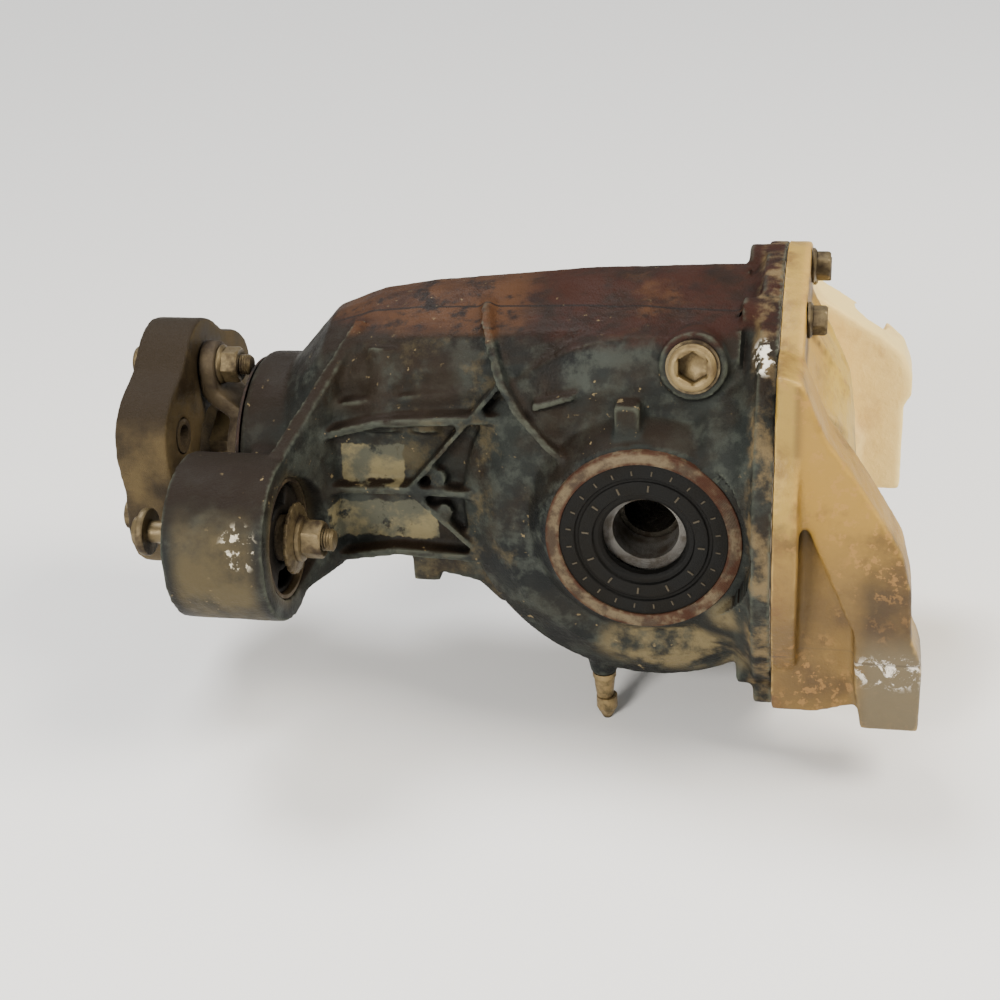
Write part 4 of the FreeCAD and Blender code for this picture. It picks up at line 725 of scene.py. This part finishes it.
def machined_cover(places):
    """1 on the cover's joint face, and 0 on its cast skin and arms."""
    from_pinion = np.hypot(places[:, 1], places[:, 2])
    return ((places[:, 0] < JOINT_X + 0.0018) & (from_pinion < FLANGE + 0.01)).astype(float)


recast("carrier_casting", "carrier_housing", 0.0015, 4, HOUSING, 0.0002, machined_housing,
       shrink_hubs)
recast("cover_casting", "rear_cover", 0.0016, 7, COVER, 0.00018, machined_cover)
recast("coupling_moulding", "flex_coupling", 0.0012, 8, COUPLING, 0.00015)
recast("flange_forging", "pinion_flange", 0.0011, 6, FORGED, 0.00012)
recast("bush_moulding", "front_bush_rubber", 0.0011, 5, BUSH, 0.0001)


# ---------------------------------------------------------------- hubs and seals

def tick(axis, angle, radius, length, width, height):
    """A small raised bar on a seal's face, pointing outwards. Lengths are in millimetres."""
    side = axis.orthogonal().normalized()
    out = side * math.cos(angle) + axis.cross(side) * math.sin(angle)
    along = axis.cross(out)
    points = []
    for rise, inset in ((-0.4, 0.0), (0.25, 0.0), (0.5, 0.25)):
        for first, second in ((-1, -1), (1, -1), (1, 1), (-1, 1)):
            points.append(AXLE + axis * ((height + rise) * MM)
                          + out * ((radius + first * (length / 2 - inset)) * MM)
                          + along * (second * (width / 2 - inset) * MM))
    faces = [[3, 2, 1, 0], [8, 9, 10, 11]]
    for row in (0, 4):
        for step in range(4):
            after = (step + 1) % 4
            faces.append([row + step, row + after, row + 4 + after, row + 4 + step])
    return points, faces


def tick_circle(axis, count, offset, radius, length, width, height):
    """Evenly spaced ticks, the first of them an offset of their spacing round."""
    return [tick(axis, math.tau * (index + offset) / count, radius, length, width, height)
            for index in range(count)]


def build_hub(side, name):
    """One side's faced ring and its output seal, with the moulded ticks on the seal's face."""
    face = HUB_FACE / MM
    rim = SEAL_RIM / MM
    inside = rim + 0.02
    axis = Y_AXIS * side
    ring = rounded([(face - 9, inside), (face, inside), (face, rim + 7), (face - 7, rim + 7.2),
                    (face - 9, rim + 5)], 0.5)
    settle(new_piece(f"hub_ring_{name}", [revolve(ring, AXLE, axis, segments=160, ring=True)]),
           HUB_RING, "carrier")
    top = face - SEAL_RECESS
    band = top - 0.5
    back = top - 9.5
    lip = rim - 21.5
    seal = rounded([
        (back, rim), (top, rim), (top, rim - 7.4), (top - 1.5, rim - 8.0), (top - 1.5, rim - 9.4),
        (band, rim - 10.0), (band, rim - 16.6), (top - 2.4, rim - 17.2), (top - 2.4, lip + 2.2),
        (top - 4.0, lip + 0.2), (top - 5.2, lip + 1.6), (top - 8.6, lip + 0.1),
        (top - 9.2, lip + 2.0), (top - 9.2, lip + 4.0), (top - 5.0, lip + 5.0),
        (top - 5.0, rim - 4), (back, rim - 4)], 0.45)
    settle(new_piece(f"seal_moulding_{name}", [revolve(seal, AXLE, axis, segments=144, ring=True)]),
           SEAL, "carrier", (f"side_seal_{name}",))
    marks = (tick_circle(axis, 24, 0.5, rim - 4.6, 2.6, 0.8, top)
             + tick_circle(axis, 12, 0.3, rim - 13.2, 3.6, 1.0, band))
    settle(new_piece(f"seal_marks_{name}", marks), SEAL_MARK, "carrier")


build_hub(-1, "near")
build_hub(1, "far")


# ---------------------------------------------------------------- fasteners

M8 = 4.0                                                            # radii, in millimetres
M12 = 6.0
NUT_BORE = M12 + 0.05


def seats_at(x, boxes):
    """The points at x on the middle lines of boxes that lie along X."""
    return [Vector((x, (low.y + high.y) / 2, (low.z + high.z) / 2)) for low, high in boxes]


def turned(name, node, seats, rows, axis=X_AXIS, finish=ZINC, spin=0.4, segments=48):
    """A node's fasteners, one on each seat and each turned a little further than the last."""
    shells = [revolve(rows, seat, axis, spin + index * 0.37, segments)
              for index, seat in enumerate(seats)]
    return settle(new_piece(name, shells), finish, body_of[node], (node,))


def build_cover_bolts(head=9.5):
    """The flanged bolts of the cover, with a head this high; along them, the seat is at 0."""
    boxes = solids_of("cover_bolts")
    tip, top = boxes[0][0].x, boxes[0][1].x
    length = (top - head * MM - tip) / MM
    rows = (plain((-length, 2.8)) + threaded(-length + 0.1, -length + 18, M8, 1.25)[:-1]
            + plain((-length + 18.2, M8), (0, M8), (0, 8.8), (0.5, 9.0), (1.3, 9.0), (2.4, 7.8))
            + hex_rows(2.4, head, 13))
    turned("cover_bolt_set", "cover_bolts", seats_at(top - head * MM, boxes), rows)


def build_coupling_fasteners():
    """The three bolts that hold the coupling to its flange, and their nuts."""
    boxes = solids_of("coupling_bolts")
    end = boxes[0][1].x / MM
    turned("coupling_bolt_set", "coupling_bolts", seats_at(0, boxes),
           flipped(hex_rows(2.6, 10.5, 18))
           + plain((-2.6, 9.6), (-1.6, 12.2), (-0.6, 12.4), (0, 12.2), (0.01, M12), (end - 24, M12))
           + threaded(end - 23.9, end, M12))
    boxes = solids_of("coupling_nuts")
    turned("coupling_nut_set", "coupling_nuts", seats_at(boxes[0][0].x, boxes),
           plain((0, M12), (0, 11.0), (0.6, 11.2), (1.3, 11.0), (2.4, 9.6))
           + hex_rows(2.4, 11.5, 18, dish=False) + plain((11.4, 7.6), (10.6, NUT_BORE)))


def build_filler_plug():
    """The filler plug: a thread, a rounded collar and a hexagon socket."""
    low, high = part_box("filler_plug")
    tilt = math.radians(12)
    axis = Vector((0, -math.cos(tilt), math.sin(tilt)))
    reach = (high.x - low.x) / 2 / MM
    socket = ("hex", 14 * MM)
    rows = (plain((-12.0, 8.6)) + threaded(-11.9, 0.6, 10.0)[:-1]
            + plain((0.8, 10.0), (0.8, reach), (2.6, reach), (3.6, reach - 1.1),
                    (3.9, reach - 2.2), (3.9, 8.6))
            + [(3.0 * MM, 8.2 * MM, socket), (-6.5 * MM, 8.2 * MM, socket)] + plain((-8.0, 4.0)))
    turned("filler_plug_turned", "filler_plug", [middle("filler_plug_washer")], rows, axis, PLUG,
           spin=0.26, segments=96)


def build_bush_fasteners():
    """The bolt and nut through the front bush, with the bolt's head at the front."""
    low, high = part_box("front_bush_bolt")
    length = (high.x - low.x) / MM
    turned("bush_bolt_turned", "front_bush_bolt", [Vector((low.x, EAR.y, EAR.z))],
           flipped(hex_rows(4.0, 8.0, 16), 8.0)
           + plain((4.0, 9.0), (4.1, 12.3), (4.8, 12.7), (7.2, 12.7), (8.0, 12.2), (8.1, M12),
                   (length - 30, M12))
           + threaded(length - 29.9, length, M12), spin=0.0, segments=64)
    low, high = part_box("front_bush_nut")
    turned("bush_nut_formed", "front_bush_nut", [Vector((low.x, EAR.y, EAR.z))],
           plain((0, M12), (0, 12.0), (0.7, 12.2), (2.2, 11.6), (3.0, 9.7))
           + hex_rows(3.0, 13.0, 18, dish=False) + plain((12.8, 7.6), (12.0, NUT_BORE)),
           spin=0.5, segments=72)


def build_toothed_washer():
    """The dished washer behind the bush: a toothed rim round a raised centre."""
    low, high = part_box("front_bush_washer")
    seat = Vector((low.x, EAR.y, EAR.z))
    outer = (high.z - low.z) / 2 / MM
    bore = 6.4
    teeth, notch, rim = 18, 0.045, (outer - 1.2) * MM
    profile = rounded([(0, bore), (0, outer), (1.8, outer), (2.4, outer - 2.4), (3.6, outer - 6),
                       (3.6, bore)], 0.4)
    smooth, faces = revolve(profile, seat, X_AXIS, segments=144, ring=True)
    points = []
    for point in smooth:
        offset = point - seat
        across = Vector((0, offset.y, offset.z))
        in_notch = math.sin(math.atan2(offset.z, offset.y) * teeth) > 0.2
        scale = 1.0 - notch if in_notch and across.length > rim else 1.0
        points.append(seat + Vector((offset.x, 0, 0)) + across * scale)
    settle(new_piece("bush_washer_pressed", [(points, faces)]), ZINC, "carrier",
           ("front_bush_washer",))


build_cover_bolts()
build_coupling_fasteners()
build_filler_plug()
build_bush_fasteners()
build_toothed_washer()


# ---------------------------------------------------------------- stage, light and camera

def build_stage():
    """A pale floor under the part, far wider than the view, and an even sky."""
    height = cad_box[0][2]
    reach = 40.0
    corners = [(-reach, -reach), (reach, -reach), (reach, reach), (-reach, reach)]
    mesh = bpy.data.meshes.new("floor")
    mesh.from_pydata([(x, y, height) for x, y in corners], [], [(0, 1, 2, 3)])
    pale = bpy.data.materials.new("pale_floor")
    pale.use_nodes = True
    shader = pale.node_tree.nodes["Principled BSDF"]
    shader.inputs["Base Color"].default_value = (0.93, 0.93, 0.92, 1)
    shader.inputs["Roughness"].default_value = 0.9
    mesh.materials.append(pale)
    floor = add_object("floor", mesh)
    world = bpy.data.worlds.new("studio")
    world.use_nodes = True
    sky = world.node_tree.nodes["Background"]
    sky.inputs["Color"].default_value = (1.0, 0.985, 0.96, 1)
    sky.inputs["Strength"].default_value = 0.5
    bpy.context.scene.world = world


def add_light(name, kind, place, energy, **settings):
    """A light aimed at the middle of the part."""
    data = bpy.data.lights.new(name, kind)
    data.energy = energy
    for key, value in settings.items():
        setattr(data, key, value)
    light = add_object(name, data)
    light.location = place
    light.rotation_euler = (MIDDLE_OF_PART - Vector(place)).to_track_quat("-Z", "Y").to_euler()


def build_camera():
    """The photograph's view: a little from the right and above, turned slightly on its axis.

    The near hub's centre is placed where it is seen, in the camera's own axes.
    """
    azimuth, elevation, roll = math.radians(13.0), math.radians(27.0), math.radians(3.7)
    sensor = 36.0
    focal_widths = 1.65
    hub = Vector((AXLE.x, -HUB_FACE, 0))
    seen_at = Vector((0.0713, -0.0209, -0.825))
    right = Vector((math.cos(azimuth), math.sin(azimuth), 0))
    level = Vector((math.sin(azimuth), -math.cos(azimuth), 0))
    back = level * math.cos(elevation) + Vector((0, 0, math.sin(elevation)))
    up = back.cross(right)
    turned_right = right * math.cos(roll) - up * math.sin(roll)
    turned_up = right * math.sin(roll) + up * math.cos(roll)
    data = bpy.data.cameras.new("camera")
    data.sensor_width = sensor
    data.lens = sensor * focal_widths
    data.clip_start = 0.01
    camera = add_object("camera", data)
    turn = Matrix((turned_right, turned_up, back)).transposed()
    camera.matrix_world = Matrix.Translation(hub - turn @ seen_at) @ turn.to_4x4()
    bpy.context.scene.camera = camera


build_stage()
add_light("key", "AREA", (-0.35, -1.7, 0.75), 42, size=0.5, color=(1.0, 0.96, 0.9))
add_light("side", "AREA", (1.3, -0.3, 1.3), 34, size=0.8, color=(1.0, 0.93, 0.82))
add_light("overhead", "SUN", (-0.5, 0.6, 1.9), 2.6, angle=math.radians(24))
build_camera()
